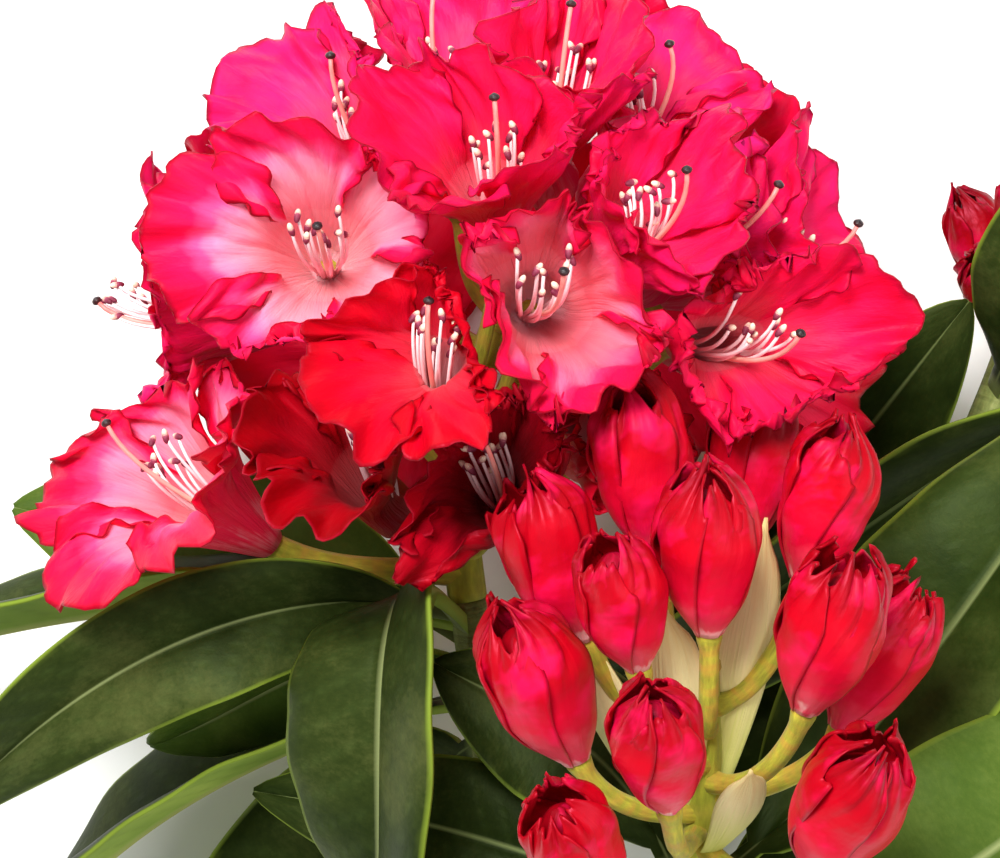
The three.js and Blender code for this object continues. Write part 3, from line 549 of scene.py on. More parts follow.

# each mouth's place, how far it faces right and up, its size, opening and turn, then the paleness
# of its inside, the pink light painted through it, the shade painted on it, and its stamens' reach
flowerFields = ("mouth", "right", "rise", "size", "open", "turn", "pale", "paintedGlow", "paintedShade", "reach")
flowerPlan = {
    "flower_front_left": ((-37, 38, 115), 0, 6, 1.02, 0.88, 14, 0.9, 0.15),
    "flower_front_right": ((10, 28, 138), 6, 4, 1.2, 0.9, 0, 0.5, 0.2),
    "flower_low_left": ((-73, -7, 98), -50, 30, 1.04, 0.72, 30, 0.7, 0.1),
    "flower_low_left_inner": ((-28, 2, 119), -10, 36, 1.04, 0.5, 20, 0, 0, 1),
    "flower_low_middle": ((-14, 18, 136), -4, 32, 0.98, 0.62, -8, 0, 0, 0.3),
    "flower_low_front": ((-2, -7, 123), -4, 14, 1.04, 0.64, 24, 0, 0.1, 1),
    "flower_high_front": ((-1, 57, 131), -2, 32, 1.04, 0.76, 6, 0, 0.35),
    "flower_top": ((13, 75, 109), 6, 50, 1.06, 0.76, -14, 0, 0.4),
    "flower_right_front": ((32, 44, 129), 22, 24, 1.06, 0.8, 18, 0, 0.45),
    "flower_right_low": ((53, 18, 121), 24, 0, 1.1, 0.82, -10, 0, 0.25),
    "flower_right_side": ((63, 38, 92), 62, 16, 1, 0.8, 4, 0.08, 0.5),
    "flower_right_under": ((65, 13, 88), 61, -8, 1, 0.76, 28, 0.04, 0.1),
    "flower_high_left": ((-32, 68, 94), -22, 40, 0.96, 0.8, 0, 0.25, 0.7),
    "flower_left_side": ((-72, 26, 71), -86, 2, 1.02, 0.84, 16, 0.5, 0.6, 0, 1.35),
    "flower_high_right": ((31, 69, 98), 28, 44, 1.02, 0.78, 36, 0.1, 0.7),
    "flower_right_upper": ((48, 43, 108), 44, 26, 1, 0.78, -20, 0.06, 0.7),
    "flower_low_right": ((26, -1, 108), 18, 12, 0.92, 0.6, 10, 0, 0),
    "flower_top_left": ((-13, 78, 95), -12, 58, 1.08, 0.74, -6, 0.12, 0.6),
    "flower_back_top": ((8, 84, 52), 170, 66, 0.98, 0.74, 14, 0.5, 0.3),
    "flower_back_high_left": ((-52, 58, 42), -118, 34, 1, 0.82, 8, 0.7, 0.3),
    "flower_back_high_right": ((54, 58, 46), 116, 32, 1, 0.82, -12, 0.6, 0.3),
    "flower_back_left": ((-30, 20, 16), -150, 2, 1.1, 0.84, 26, 0.8, 0.1),
    "flower_back_right": ((27, 28, 14), 152, 6, 1.1, 0.84, 2, 0.7, 0.1),
}
budPlan = {  # the middle of each bud, and its size
    "bud_top": ((29, -8, 127), 1.02),
    "bud_left_upper": ((11, -26, 131), 1.04),
    "bud_front_upper": ((41, -24, 147), 1.04),
    "bud_front_left": ((24, -34, 151), 0.88),
    "bud_left_lower": ((8, -51, 138), 1.08),
    "bud_front_lower": ((31, -62, 159), 0.94),
    "bud_right_front": ((65, -40, 148), 1.06),
    "bud_right_back": ((66, -15, 126), 0.96),
    "bud_right_side": ((77, -46, 124), 1),
    "bud_right_lower": ((68, -74, 152), 1.1),
    "bud_left_bottom": ((15, -82, 150), 0.94),
    "bud_top_back": ((52, -8, 108), 0.94),
}
budForm = dict(length=35, radius=10.2, lean=0.9)
room = dict(  # how flowers and buds share the space, as balls of air round them
    mouth=28, closedShare=0.4, tube=((8, 8), (22, 15)), bud=((10, 11.6), (28, 11.6)),
    farthest=90, softness=5, clearance=0.75, least=0.35, rounds=5, lastRounds=3, floor=0.4,
)
flowerFeet, budFeet = (0.1, 0.97), (0.12, 0.95)  # the shares of the stalks that carry them


def corollaProfile(share, flare):
    steps = 240
    bendAt = lambda at: np.radians(mix(corolla["tubeAngle"], flare, ramp(at, notch * 0.7, 1)))
    bends, edges = bendAt((np.arange(steps) + 0.5) / steps), np.arange(steps + 1) / steps
    strides = (np.sin(bends) * petalLength / steps, np.cos(bends) * petalLength / steps)
    radius, height = (np.interp(share, edges, np.cumsum([0, *stride])) for stride in strides)
    return corolla["baseRadius"] + radius, height, bendAt(share)


def byHeight(plan):
    return sorted(plan, key=lambda name: plan[name][0][1])


def planFlower(name, index):
    plan = dict(zip(flowerFields, flowerPlan[name]))
    draw = stream(index * 7919 + 17)
    turn, lift = math.radians(plan["right"]), math.radians(plan["rise"])
    axis = vec((math.sin(turn) * math.cos(lift), math.sin(lift), math.cos(turn) * math.cos(lift)))
    top = squareTo(axis, yAxis if abs(axis[1]) < 0.93 else zAxis)
    top = turned(math.radians(plan["turn"]), top, np.cross(axis, top))
    flare = plan["open"] * corolla["fullFlare"]
    lobes = []
    for _ in range(5):
        lobeFlare = flare * (0.88 + 0.24 * next(draw))
        phases = [next(draw) * 2 * math.pi, next(draw) * 2 * math.pi]
        lobes.append(dict(flare=lobeFlare, phases=phases, cup=corolla["cup"] * (0.4 + 1.2 * next(draw))))
    height = corollaProfile(corolla["mouthShare"], flare)[1]
    base = vec(plan["mouth"]) - axis * height * plan["size"]
    foot = mix(*flowerFeet, byHeight(flowerPlan).index(name) / (len(flowerPlan) - 1))
    made = dict(name=name, index=index, axis=axis, top=top, side=np.cross(top, axis))
    return dict(plan, **made, lobes=lobes, base=base, foot=foot)


def planBud(name, i):
    middle, size = budPlan[name]
    foot = mix(*budFeet, i / (len(budPlan) - 1))
    away = unit(vec(middle) - pointAt(stalks["near"], foot))
    axis = unit(away + aheadAt(stalks["near"], 1) * budForm["lean"])
    base = vec(middle) - axis * size * budForm["length"] / 2
    return dict(name=name, index=i, size=size, foot=foot, axis=axis, base=base, turn=1.7 * i)


flowers = [planFlower(name, i + 1) for i, name in enumerate(flowerPlan)]
buds = [planBud(name, i) for i, name in enumerate(byHeight(budPlan))]
rooms = [
    (f["name"], vec(f["mouth"]), room["mouth"] * f["size"] * mix(room["closedShare"], 1, f["open"]))
    for f in flowers
]
for things, balls in ((flowers, room["tube"]), (buds, room["bud"])):
    for thing in things:
        for along, reach in balls:
            middle = thing["base"] + thing["axis"] * along * thing["size"]
            rooms.append((thing["name"], middle, reach * thing["size"]))


def give(depth):
    least, soft = room["clearance"], room["softness"]
    pressed = least + soft * np.exp(np.minimum(0, depth - least - soft) / soft)
    return np.where(depth >= least + soft, depth, pressed)


def bordersOf(name):
    # the planes between it and its neighbours
    _, middle, reach = next(r for r in rooms if r[0] == name)
    borders = []
    for other, otherMiddle, otherReach in rooms:
        gap = np.linalg.norm(middle - otherMiddle)
        if other == name or gap > room["farthest"]:
            continue
        away = (middle - otherMiddle) / gap
        borders.append((away, otherMiddle @ away + gap * otherReach / (reach + otherReach)))
    return borders


def keptInside(points, borders, firmness):
    # crowded petals fold up along the borders
    for _ in range(room["rounds"]):
        for away, border in borders:
            depth = points @ away - border
            points = points + ((give(depth) - depth) * firmness)[..., None] * away
    points[..., 2] = room["floor"] + give(points[..., 2] - room["floor"])
    return points


def keptApart(points, borders, firmness):
    # ruffles stop short of the borders, so no petal pokes through a neighbour's
    for _ in range(room["lastRounds"]):
        for away, border in borders:
            short = np.maximum(0, room["least"] - (points @ away - border))
            points = points + (short * firmness)[..., None] * away
    points[..., 2] = np.maximum(points[..., 2], room["floor"])
    return points


def waves(across, counts, phases, heights):
    return sum(h * np.sin(c * math.pi * across + p) for c, p, h in zip(counts, phases, heights))


def lobeGrid(flower, lobe):
    c, plan, size, index = corolla, flower["lobes"][lobe], flower["size"], flower["index"]
    random = np.random.default_rng(index * 31 + lobe)
    line = np.linspace(-1, 1, c["cols"])
    tube = np.linspace(0, notch, c["tubeRows"])[:-1]
    free = mix(notch, 1, evenly(c["rows"] - c["tubeRows"]) ** 0.9)
    line = 0.35 * np.sin(line * math.pi / 2) + 0.65 * line
    across, share = np.meshgrid(line, np.concatenate([[0], tube, free]))
    out, aside = np.clip((share - notch) / (1 - notch), 0, 1), np.abs(across)
    phases = random.uniform(0, 2 * math.pi, 12)
    teeth = waves(across, (2.9, 6.1, 9.7), phases[:3], (0.6, 0.45, 0.4))
    margin = 1 - c["rounding"] * aside ** 2.6 + c["teeth"] * teeth
    reach = np.where(share <= notch, share, mix(notch, margin, out))
    radius, height, bend = corollaProfile(reach, plan["flare"])
    width = 1 + c["widening"] * np.sin(math.pi * np.clip(out * 1.05, 0, 1) * 0.62)
    angle = np.radians(72 * (lobe + across / 2 * width))
    rise = c["ruffle"] * waves(across, (1.6, 2.9), plan["phases"], (0.6, 0.4)) * out ** 1.6
    rise = rise + plan["cup"] * across ** 2 * np.sin(math.pi * np.minimum(1, out * 0.75))
    spoke = turned(angle, flower["top"], flower["side"])
    points = flower["base"] + (size * (height + rise * np.sin(bend)))[..., None] * flower["axis"]
    reached = size * np.maximum(c["baseRadius"], radius - rise * np.cos(bend))
    reached[0] *= 0.1  # the first row closes the tube's floor
    points = points + reached[..., None] * spoke
    borders, firmness = bordersOf(flower["name"]), ramp(share, 0.12, 0.45)
    points = keptInside(points, borders, firmness)
    normals = surfaceNormals(points)
    amount = random.uniform(0.6, 1.3, 4)
    warped = across + 0.1 * np.sin(3.1 * across + phases[3])
    swell = 0.6 + 0.4 * np.sin(2.3 * math.pi * across + phases[9])
    calm = 1 - ramp(aside, 0.6, 0.85) * (1 - ramp(out, 0.6, 0.85))  # lobes lie flat where they overlap
    long = waves(warped, (3.7, 5.9), phases[4:6], (0.7, 0.5))
    short = waves(warped, (7.7, 9.3), phases[6:8], (0.7, 0.5))
    heights = (
        calm * c["frill"] * amount[0] * out ** 2 * swell * long,
        calm * c["crimp"] * amount[1] * out ** 6 * (1.5 - swell) * short,
        calm * c["pucker"] * ramp(out, 0.15, 0.6) * np.sin(4.4 * math.pi * across + 9 * out + phases[10]),
        c["sideFrill"] * aside ** 5 * ramp(out, 0.15, 0.6) * np.sin(6 * math.pi * out + phases[8]),
        -c["recurve"] * (amount[2] - 0.7) * out ** 5,
        c["lap"] * across * ramp(out, 0, 0.35),
        -c["groove"] * bell(across, 0.1) * ramp(share, 0.1, 0.4) * (1 - out ** 3),
    )
    points = keptApart(points + (size * sum(heights))[..., None] * normals, borders, firmness)
    one = np.ones_like(share)
    paint = dict(
        place=stacked(across * 0.5 + index * 3.7 + lobe * 11.3, share * 1.6, index * 1.3),
        edge=np.maximum(out ** 1.25, aside ** 3 * ramp(out, 0.02, 0.3)),
        out=out * 0.8 + share * 0.2,
        # the inside's paleness, the painted pink glow and the painted shade, each even over the flower
        **{key: one * flower.get(key, 0) for key in ("pale", "paintedGlow", "paintedShade")},
    )
    return points, paint, share


stamen = dict(
    count=10, length=37, radius=0.52, tipRadius=0.34, inset=2.2, anther=(1.65, 0.74),
    fan=165, strays=(-7, 7), lengths=(0.78, 1.04), outs=(0.5, 1.1), lifts=(3, 9), nod=0.9,
)
pistil = dict(length=50, radius=0.5, stigma=(0.8, 1.15), spread=4, out=1, lift=6.5, inset=0.6)
threadClearance = 1.4  # above the floor


def threadCurve(flower, length, spread, out, lift, inset):
    down = -flower["top"]
    fan = turned(math.radians(spread), down, np.cross(flower["axis"], down))
    stops = ((0, inset, 0), (0.4, 3 * out, 0), (0.8, 5.6 * out, -1), (0.94, 5.6 * out, lift))
    points = [
        flower["base"] + flower["size"] * (flower["axis"] * along * length + fan * o + flower["top"] * up)
        for along, o, up in stops
    ]
    for point in points:
        point[2] = max(point[2], room["floor"] + threadClearance)
    return points


def egg(middle, ahead, form, look, seed):
    length, radius = form
    t = np.linspace(0.04, 0.96, 7)
    radii = radius * np.sqrt(np.clip(1 - (2 * t - 1) ** 2, 0, 1)) ** 0.8
    return limbPart(middle + np.outer((t - 0.5) * 2 * length, ahead), radii, look, 8, seed, weight=0.03)


def threadParts(flower):
    random = np.random.default_rng(flower["index"] * 101)
    t = evenly(15)
    parts, s = [], stamen
    for i in range(s["count"]):
        spread = s["fan"] * ((i + 0.5) / s["count"] - 0.5) + random.uniform(*s["strays"])
        length = s["length"] * flower.get("reach", 1) * random.uniform(*s["lengths"])
        out, lift = random.uniform(*s["outs"]), random.uniform(*s["lifts"])
        curve = threadCurve(flower, length, spread, out, lift, s["inset"])
        radii = mix(s["radius"], s["tipRadius"], t) * flower["size"]
        parts.append(limbPart(bezier(curve, t), radii, "filament", 6, i + flower["index"] * 7.1, weight=0.06))
        ahead = unit(aheadAt(curve, 1) + random.uniform(-s["nod"], s["nod"], 3))
        parts.append(egg(curve[-1], ahead, s["anther"], "anther", i * 3.3 + flower["index"] * 1.9))
    curve = threadCurve(flower, *(pistil[key] for key in ("length", "spread", "out", "lift", "inset")))
    parts.append(limbPart(bezier(curve, t), pistil["radius"] * mix(1.2, 1, t), "style", 8, weight=0.08))
    ahead = aheadAt(curve, 1)
    parts.append(egg(curve[-1] + ahead * 0.4, ahead, pistil["stigma"], "stigma", 1))
    return parts


pedicel = dict(radius=1.6, calyxRadius=2.8, budRadius=2.1, thick={"flower_low_left": 3}, rib=0.16)


def pedicelPart(stalk, thing, radius, seed):
    foot, base, axis = thing["foot"], thing["base"], thing["axis"]
    start = pointAt(stalk, foot)
    reach = np.linalg.norm(base - start) / 3
    outward = squareTo(aheadAt(stalk, foot), base - start)
    t = evenly(26)
    line = bezier([start, start + outward * reach, base - axis * reach, base], t)
    radii = radius * (1 + 0.35 * ramp(t, 0.2, 0)) + (pedicel["calyxRadius"] - radius) * ramp(t, 0.86, 0.97)
    ribs = pedicel["rib"] * np.sin(5 * anglesOf(10))[None] * ramp(t, 0.8, 1)[:, None]
    return limbPart(line, radii, "pedicel", 10, seed, 3, ribs, weight=0.3)


def makeFlower(flower):
    parts = []
    for lobe in range(5):
        points, paint, share = lobeGrid(flower, lobe)
        half = corolla["half"] * flower["size"] * (1.5 - 0.9 * share)
        parts.append(sheetPart(points, half, "petal", paint))
    parts += threadParts(flower)
    radius = pedicel["thick"].get(flower["name"], pedicel["radius"])
    parts.append(pedicelPart(stalks["main"], flower, radius, flower["index"] * 2.7))
    makePiece(flower["name"], "_bloom", parts)


for flower in flowers:
    makeFlower(flower)
print("flowers made:", len(flowers))


# a closed bud: five petals wrapped round each other, with crumpled tips
budGirths = (
    (0, 0.08, 0.2, 0.38, 0.6, 0.78, 0.9, 1, 1.1),
    (0.25, 0.44, 0.7, 0.91, 1, 0.92, 0.7, 0.34, 0.15),
)
budWrap = dict(
    rows=28, cols=21, half=0.3, lap=0.085, spiral=38, halfAngle=64,
    keel=0.035, crease=0.07, dents=0.045, sway=0.12, coreLength=0.84, coreRadius=0.7,
)


def budPetal(base, axis, length, radius, turn, petal, seed, fineness):
    w = budWrap
    random = np.random.default_rng(seed * 17 + petal)
    phases = random.uniform(0, 2 * math.pi, 10)
    rows, cols = round(w["rows"] * fineness), round(w["cols"] * fineness)
    t, across = np.meshgrid(evenly(rows), np.linspace(-1, 1, cols), indexing="ij")
    tipWaves = waves(across, (1.7, 3.9), phases[:2], (0.045, 0.03))
    along = t * (random.uniform(0.92, 1.06) - 0.2 * np.abs(across) ** 2.2 + tipWaves)
    girth = sum(np.interp(along + step, *budGirths) for step in (-0.04, 0, 0.04)) / 3
    spiral = np.radians(w["spiral"]) * ramp(along, 0.25, 1.05)
    spread = np.radians(w["halfAngle"]) * (0.66 + 0.34 * np.sin(math.pi * np.clip(along, 0, 1) ** 0.8))
    spread = spread * (1 + 0.07 * np.sin(6 * along + phases[6] + np.sign(across)) * across ** 2)
    angle = math.radians(72) * petal + turn + spiral + across * spread
    keel = w["keel"] * bell(across, 0.25) * ramp(along, 0.1, 0.4)
    creaseAt = random.uniform(-0.5, 0.5) + 0.5 * (along - 0.6)
    crease = bell(across - creaseAt, 0.1) * ramp(along, 0.35, 0.75)
    crumple = ramp(along, 0.55, 1) * waves(across + 0.3 * along, (1.9, 4.3), phases[3:5], (0.09, 0.06))
    dents = w["dents"] * np.sin(4.2 * along * math.pi + 2 * across + phases[5]) * ramp(along, 0.15, 0.5)
    out = radius * (girth * (0.93 + w["lap"] * across + keel + dents - w["crease"] * crease) + crumple)
    out = np.maximum(out, 0.5 + 0.25 * across)
    height = length * (along + 0.015 * np.sin(7 * across + phases[7]) * t ** 3)
    top = squareTo(axis, zAxis)
    side = np.cross(axis, top)
    points = base + height[..., None] * axis + out[..., None] * turned(angle, top, side)
    sway = w["sway"] * radius * ramp(along, 0.5, 1.1) ** 2
    points = points + sway[..., None] * turned(phases[8], top, side)
    points[..., 2] = np.maximum(points[..., 2], room["floor"])
    # where painted shade goes on the bud: the petals' lapped sides, their tips and their creases
    edge = np.maximum(np.maximum(np.abs(across) ** 4, t ** 12), 0.9 * crease)
    place = stacked(across * 0.5 + seed * 3.1 + petal * 7.7, along * 1.4, seed * 1.7)
    return points, dict(place=place, edge=edge, out=np.clip(along, 0, 1))


def wrappedBud(base, axis, length, radius, turn, seed, dark=0, fineness=1):
    # a core closes the bud, and five petals wrap it, each over the last
    t = evenly(20)
    line = base + np.outer(t * length * budWrap["coreLength"], axis)
    core = limbPart(line, np.interp(t, *budGirths) * radius * budWrap["coreRadius"], "bud", 20, weight=0.4)
    place = core["paint"]["place"]
    core["paint"] = dict(place=place + (seed, 0, 0), edge=np.zeros((len(place), 1)), out=place[:, 1:2])
    parts = [core]
    for petal in range(5):
        points, paint = budPetal(base, axis, length, radius, turn, petal, seed, fineness)
        parts.append(sheetPart(points, budWrap["half"], "bud", paint))
    for part in parts:
        part["paint"]["dark"] = np.full((len(part["verts"]), 1), dark)
    return parts


for bud in buds:
    length, radius = bud["size"] * budForm["length"], bud["size"] * budForm["radius"]
    parts = wrappedBud(bud["base"], bud["axis"], length, radius, bud["turn"], bud["index"] + 1)
    parts.append(pedicelPart(stalks["near"], bud, pedicel["budRadius"], bud["index"] * 1.9))
    makePiece(bud["name"], "_wrapped", parts)
print("buds made:", len(buds))


# truss stalks, and the papery scales at their feet
stalkForm = dict(footRadius=4.3, tipRadius=2.4, rows=34, sides=20)
scalePlan = {  # how far along the stalk, a point on the way, the tip, the width and the blush
    "front": (0.1, (35, -62, 126), (33, -35, 133), 14, 0.2),
    "left": (0.08, (22, -67, 119), (14, -40, 124), 15, 0),
    "right": (0.12, (51, -56, 121), (54, -18, 126), 13, 0.5),
    "right_low": (0.04, (50, -82, 125), (50, -68, 140), 10, 0.6),
}
scaleForm = dict(lift=12, cup=0.35, half=0.3, wave=0.06, rows=26, cols=15)  # lift turns their backs up


def stalkPart(curve, seed):
    t, angles = evenly(stalkForm["rows"]), anglesOf(stalkForm["sides"])
    radii = mix(stalkForm["footRadius"], stalkForm["tipRadius"], t)
    ribs = 0.14 * np.sin(7 * angles[None] + 3 * t[:, None]) + 0.1 * np.sin(19 * t[:, None] + 2 * angles[None])
    return limbPart(bezier(curve, t), radii, "stalk", stalkForm["sides"], seed, 3, ribs)


def scalePart(stalk, seed, along, through, tip, width, blush):
    f = scaleForm
    curve = [pointAt(stalk, along), vec(through), vec(tip)]
    shares, t = evenly(f["rows"]), np.linspace(-1, 1, f["cols"])
    line, ahead = bezier(curve, shares), bezierAhead(curve, shares)
    out = squareTo(ahead, line - pointAt(stalk, 0.5) + (0, 0, f["lift"]))
    share, across = np.meshgrid(shares, t, indexing="ij")
    half = width / 2 * np.sin(math.pi * (0.06 + 0.86 * share ** 1.6)) * (1 - 0.85 * ramp(share, 0.85, 1))
    wavy = f["wave"] * np.sin(5 * across + 9 * share + seed) * share
    points = line[:, None] + np.cross(ahead, out)[:, None] * (half * across)[..., None]
    points = points + out[:, None] * (half * (wavy - f["cup"] * across ** 2))[..., None]
    place = stacked(across * 0.5 + seed * 5, share * 1.2, seed)
    paint = dict(place=place, out=share, flush=blush * ramp(share, 0.3, 0.9))
    return sheetPart(points, f["half"], "scale", paint, weight=0.6)


makePiece("main_truss_stalk", "_green", [stalkPart(stalks["main"], 1)])
scales = [scalePart(stalks["near"], i + 1, *row) for i, row in enumerate(scalePlan.values())]
makePiece("near_truss_stalk", "_green", [stalkPart(stalks["near"], 2), *scales])

farBud = dict(length=27, radius=7.4, out=4.5, lean=0.55, ringed=4, dark=0.6, fineness=0.7, feet=(0.6, 0.95))
farScale = (0.3, (124, 40, 36), (126, 56, 37), 10, 0)
farParts = [stalkPart(stalks["far"], 3)]
farAhead = aheadAt(stalks["far"], 1)
farUp = squareTo(farAhead, zAxis)
for i in range(farBud["ringed"] + 1):
    inRing = i < farBud["ringed"]
    angle = 2 * math.pi * (i + 0.5) / farBud["ringed"]
    out = turned(angle, farUp, np.cross(farAhead, farUp)) * inRing
    base = pointAt(stalks["far"], farBud["feet"][0 if inRing else 1]) + out * farBud["out"]
    axis = unit(farAhead + out * farBud["lean"])
    sizes = farBud["length"], farBud["radius"]
    farParts += wrappedBud(base, axis, *sizes, i, 30 + i, farBud["dark"], farBud["fineness"])
farParts.append(scalePart(stalks["far"], 9, *farScale))
makePiece("far_truss", "_buds", farParts)
print("stalks made")


leafForm = dict(
    thickness=1.6, petioleWidth=3.4, petioleThickness=3, petioleShare=0.13, curl=0.14, wave=1.6, ripple=0.35,
    rows=62, cols=29, veins=15, veinSlant=0.11, veinWidth=0.09, veinDepth=0.08,
    ribTip=0.28, ribTaper=0.42, ribDepth=0.45,
)
# how far along its shoot each leaf is, two points on the way to the tip, the tip, where the face
# looks, the width and the fold, then how young it is and how much shade is painted on it
leafPlan = {
    "leaf_left_front": (0.97, (-43, -38, 83.5), (-83, -53, 84), (-126, -89, 48), (-0.1, -0.2, 1), 33, 30),
    "leaf_left_back": (0.9, (-40, -32, 46), (-76, -24, 38), (-110, -18, 38), (0.1, 0.4, 1), 40, 12, 0.5),
    "leaf_left_middle": (0.94, (-52, -38, 64), (-98, -42, 60), (-146, -54, 44), (0, 1, 0.15), 42, 36),
    "leaf_front": (0.92, (-22, -38, 101), (-25, -72, 107), (-27, -112, 76), (-1, 0.1, 1), 50, 24),
    "leaf_low_left": (0.84, (-32, -50, 62), (-56, -60, 58), (-78, -70, 50), (0.2, -0.8, 0.9), 32, 18, 0.5),
    "leaf_bottom_left": (
        0.78, (-38, -68, 50), (-78, -89, 36), (-113, -124, 1.2), (-0.1, 0.9, 0.4), 46, 34, 0, 0.6),
    "leaf_bottom": (0.7, (-20, -82, 34), (-48, -108, 24), (-84, -148, 1.2), (-0.1, 0.2, 1), 46, 14, 0, 0.7),
    "leaf_right_back": (0.72, (36, -52, 20), (74, -13, 22), (106, 29, 38), (0.1, -0.1, 1), 42, 8, 0, 0.75),
    "leaf_right_middle": (0.82, (46, -64, 32), (92, -36, 33), (134, -12, 36), (0, 0.1, 1), 44, 12, 0, 0.75),
    "leaf_right_front": (0.9, (38, -50, 52), (88, -17, 50), (132, 2, 56), (0.1, -0.7, 1), 42, 30, 0, 0.75),
    "near_leaf_low_right": (
        0.94, (74, -102, 112), (110, -81, 112), (148, -56, 86), (-0.2, 0.3, 1), 54, 14, 0.45),
    "near_leaf_up_right": (
        0.88, (76, -70, 80), (104, -33, 84), (136, 8, 72), (-0.5, 0.5, 1), 56, 28, 0.1, 0.55),
    "near_leaf_right": (0.8, (72, -92, 68), (112, -76, 60), (152, -58, 34), (0, 0.1, 1), 46, 10, 0, 0.8),
    "near_leaf_left": (0.92, (25, -74, 95), (8, -61, 91), (-14, -50, 86), (0, 0.1, 1), 34, 10, 0, 0.7),
    "near_leaf_left_low": (0.86, (14, -94, 82), (-14, -86, 76), (-54, -80, 60), (0, 0.2, 1), 34, 12, 0, 0.7),
    "near_leaf_down": (0.94, (24, -114, 98), (0, -122, 92), (-36, -144, 66), (-0.2, 0.4, 1), 42, 16, 0, 0.7),
    "far_leaf_front": (0.97, (117, 24, 52), (130, 46, 66), (162, 74, 54), (-0.3, 0.1, 1), 36, 14),
    "far_leaf_right": (0.92, (140, 6, 12), (172, 10, 14), (206, 4, 1.2), (0, 0.2, 1), 42, 12),
}


def makeLeaf(name, shoot, seed, along, first, second, tip, up, width, fold, young=0, paintedLeafShade=0):
    f = leafForm
    curve = curveThrough(pointAt(shoot, along), vec(first), vec(second), vec(tip))
    t = evenly(f["rows"])
    line, ahead = bezier(curve, t), bezierAhead(curve, t)
    up = squareTo(ahead, np.broadcast_to(vec(up), ahead.shape))
    share = np.clip((t - f["petioleShare"]) / (1 - f["petioleShare"]), 0, 1)
    across = np.linspace(-1, 1, f["cols"])
    a, s = np.meshgrid(np.sign(across) * np.abs(across) ** 0.85, share)
    aside, side, t = np.abs(a), np.sign(a), t[:, None]
    shape = np.maximum(0.03, np.sin(math.pi * s ** 0.95) ** 0.66)
    half = np.maximum(f["petioleWidth"] * np.where(t < 0.5, 0.5, 0.15), width / 2 * shape)
    fold = math.radians(fold) * np.minimum(1, 3 * shape)
    swing = np.sin(2.6 * math.pi * s + 1.3 * side)
    rise = half * (np.sin(fold) * aside - f["curl"] * a ** 4) + f["wave"] * swing * a ** 4 * shape
    blade = ramp(s, 0, 0.06) * ramp(1 - s, 0, 0.06)
    ripple = f["ripple"] * np.sin(11 * math.pi * s + seed + side) * aside ** 3
    stripe = f["veins"] * (s - aside * f["veinSlant"]) + 0.12 * np.sin(seed + 9 * s)
    vein = bell(stripe - np.round(stripe), f["veinWidth"])
    vein = vein * ramp(aside, 0.03, 0.15) * (1 - ramp(aside, 0.75, 0.97)) * blade
    rib = bell(a * half, f["ribTip"] + f["ribTaper"] * (1 - s))
    relief = (ripple - f["veinDepth"] * vein - f["ribDepth"] * rib) * blade
    points = line[:, None] + np.cross(ahead, up)[:, None] * (half * a * np.cos(fold))[..., None]
    points = points + up[:, None] * (rise + relief)[..., None]
    thick = mix(f["petioleThickness"], f["thickness"], ramp(t, 0.1, 0.3)) / 2
    points[..., 2] = np.maximum(points[..., 2], room["floor"] + thick)
    one = np.ones_like(a)
    paint = dict(
        place=stacked(a * 0.5 + seed * 2.3, s * 1.6, seed), vein=vein,
        rib=np.maximum(rib ** 2, 1 - ramp(t, 0.06, 0.15)),
        margin=ramp(aside + 0.02 * np.sin(40 * s), 0.95, 0.99),
        young=one * young,
        # painted shade, given per leaf and deeper at the leaf's foot, in the flowers' shadow
        paintedLeafShade=np.maximum(one * paintedLeafShade, 0.7 * (1 - ramp(s, 0.1, 0.5))),
    )
    part = sheetPart(points, thick * mix(1, 0.55, blade * aside ** 2), "leaf", paint)
    makePiece(name, "_blade", [part])


for i, (name, row) in enumerate(leafPlan.items()):
    shoot = (name.split("leaf")[0] or "main_") + "shoot"
    makeLeaf(name, shoots[shoot], i * 1.37 + 0.5, *row)
print("leaves made:", len(leafPlan))


# scars where older leaves fell: their height, length and half angle, and the line below each
scars = dict(count=6, height=0.75, length=0.022, angle=0.5, line=0.5, lineAt=0.03, lineLength=0.012)


def woodyPart(curve, radii, seed, green, sides=28):
    # green is how green the bark is at the foot and at the tip
    random = np.random.default_rng(seed)
    t = evenly(len(radii))
    angles, tt = np.meshgrid(anglesOf(sides), t)
    bumps = 0.16 * np.sin(5 * angles + 6 * tt + seed) + 0.12 * np.sin(9 * angles - 15 * tt)
    bumps = bumps + 0.1 * np.sin(31 * tt + 2 * angles)
    for _ in range(scars["count"]):
        at, facing = random.uniform(0.08, 0.92), random.uniform(0, 2 * math.pi)
        away = (angles - facing + math.pi) % (2 * math.pi) - math.pi
        near = bell(tt - at, scars["length"]) * bell(away, scars["angle"])
        below = bell(tt - at - scars["lineAt"], scars["lineLength"])
        bumps = bumps + (scars["height"] - scars["line"] * below) * near
    part = limbPart(bezier(curve, t), radii, "bark", sides, seed, 3, bumps, swell=0)
    part["paint"]["green"] = mix(*green, part["paint"]["place"][:, 1:2] / 3)
    return part


def cutFacePart():
    # the cut end: a disc with the wood's rings, on the end of the stem
    ahead, angles, shares = aheadAt(stemCurve, 0), anglesOf(36), np.linspace(0.05, 0.985, 12)
    side = sideOf(ahead)
    middle = cutEnd - ahead * 0.06
    spokes = turned(angles, np.cross(ahead, side), side)
    points = middle + (wood["cutRadius"] * shares)[:, None, None] * spokes
    place = stacked(angles[None] / (2 * math.pi), shares[:, None], 0)
    return gridPart(points, "cut_wood", (middle, None), dict(place=place), weight=0.5)


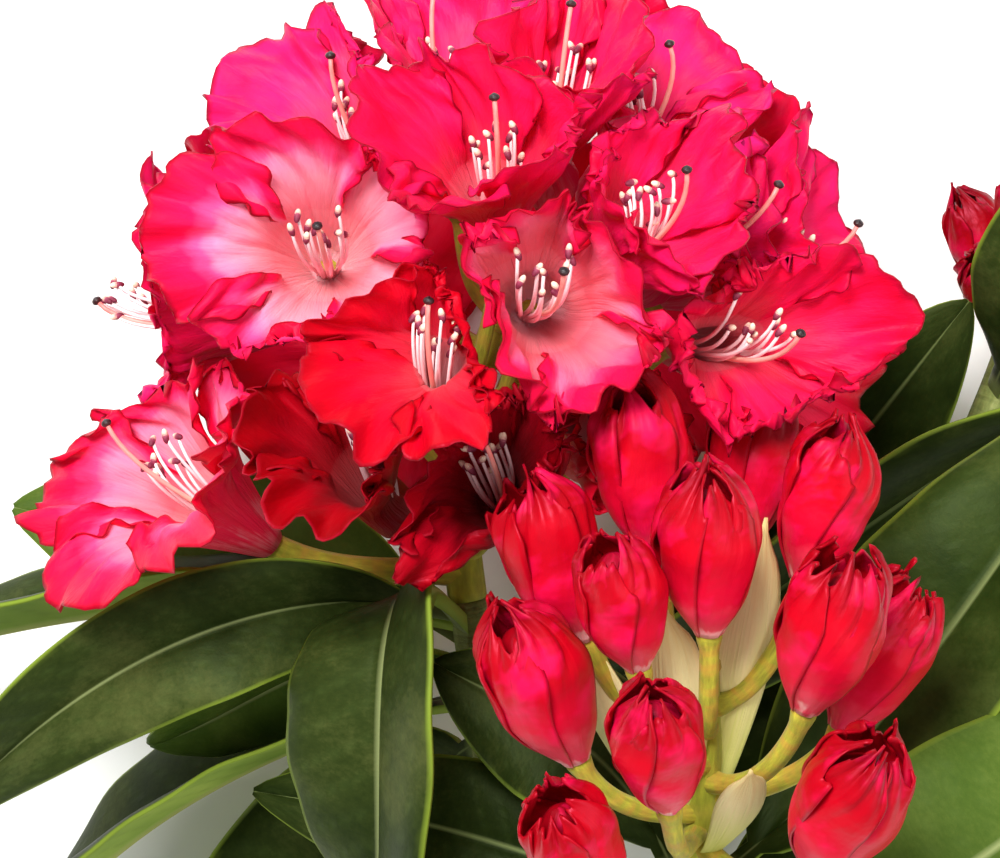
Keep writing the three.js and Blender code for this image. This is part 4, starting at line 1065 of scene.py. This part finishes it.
t = evenly(90)
stemPart = woodyPart(stemCurve, mix(wood["cutRadius"], wood["forkRadius"], t), 3, (0.15, 0.15))
makePiece("main_stem", "_bark", [stemPart, cutFacePart()])
shootRadii = mix(wood["forkRadius"], wood["shootRadius"], np.minimum(1, 1.6 * t))
for i, name in enumerate(shoots):
    makePiece(name, "_bark", [woodyPart(shoots[name], shootRadii, 11 + i, (0.25, 0.9))])
print("wood made")


camera = dict(distance=0.9, halfWidth=0.105, halfWidthAt=0.8, sensor=36.0)
stage = dict(half=6.0, floorColour=(0.86, 0.86, 0.85, 1), light=0.44, aim=(0, 0, 0.05))
lamps = {
    "key": dict(place=(-0.45, 0.8, 1.6), size=0.8, power=54),
    "fill": dict(place=(0.9, -0.4, 1.3), size=1.2, power=12),
}


def makeFloor():
    mesh = bpy.data.meshes.new("floor")
    h = stage["half"]
    mesh.from_pydata([(-h, -h, 0), (h, -h, 0), (h, h, 0), (-h, h, 0)], [], [(0, 1, 2, 3)])
    floor = bpy.data.objects.new("floor", mesh)
    bpy.context.scene.collection.objects.link(floor)
    look = Look("floor", 0.1, Roughness=0.9, Base_Color=stage["floorColour"])
    mesh.materials.append(look.material)


def addLamp(name, lamp):
    data = bpy.data.lights.new(name, "AREA")
    data.shape, data.size, data.energy = "DISK", lamp["size"], lamp["power"]
    thing = bpy.data.objects.new(name, data)
    thing.location = lamp["place"]
    thing.rotation_mode = "QUATERNION"
    thing.rotation_quaternion = (Vector(stage["aim"]) - thing.location).to_track_quat("-Z", "Y")
    bpy.context.scene.collection.objects.link(thing)


makeFloor()
for name, lamp in lamps.items():
    addLamp(name, lamp)
world = bpy.data.worlds.new("studio")
world.use_nodes = True
background = world.node_tree.nodes["Background"]
background.inputs["Color"].default_value = (1, 1, 1, 1)
background.inputs["Strength"].default_value = stage["light"]
bpy.context.scene.world = world
bpy.context.scene.view_settings.view_transform = "Standard"

cameraData = bpy.data.cameras.new("camera")
cameraData.sensor_width = camera["sensor"]
cameraData.lens = camera["sensor"] / 2 * camera["halfWidthAt"] / camera["halfWidth"]
cameraData.clip_start, cameraData.clip_end = 0.01, 20
cameraObject = bpy.data.objects.new("camera", cameraData)
cameraObject.location = Vector(shift / 1000) + Vector((0, 0, camera["distance"]))
bpy.context.scene.collection.objects.link(cameraObject)
bpy.context.scene.camera = cameraObject

print("scene done")
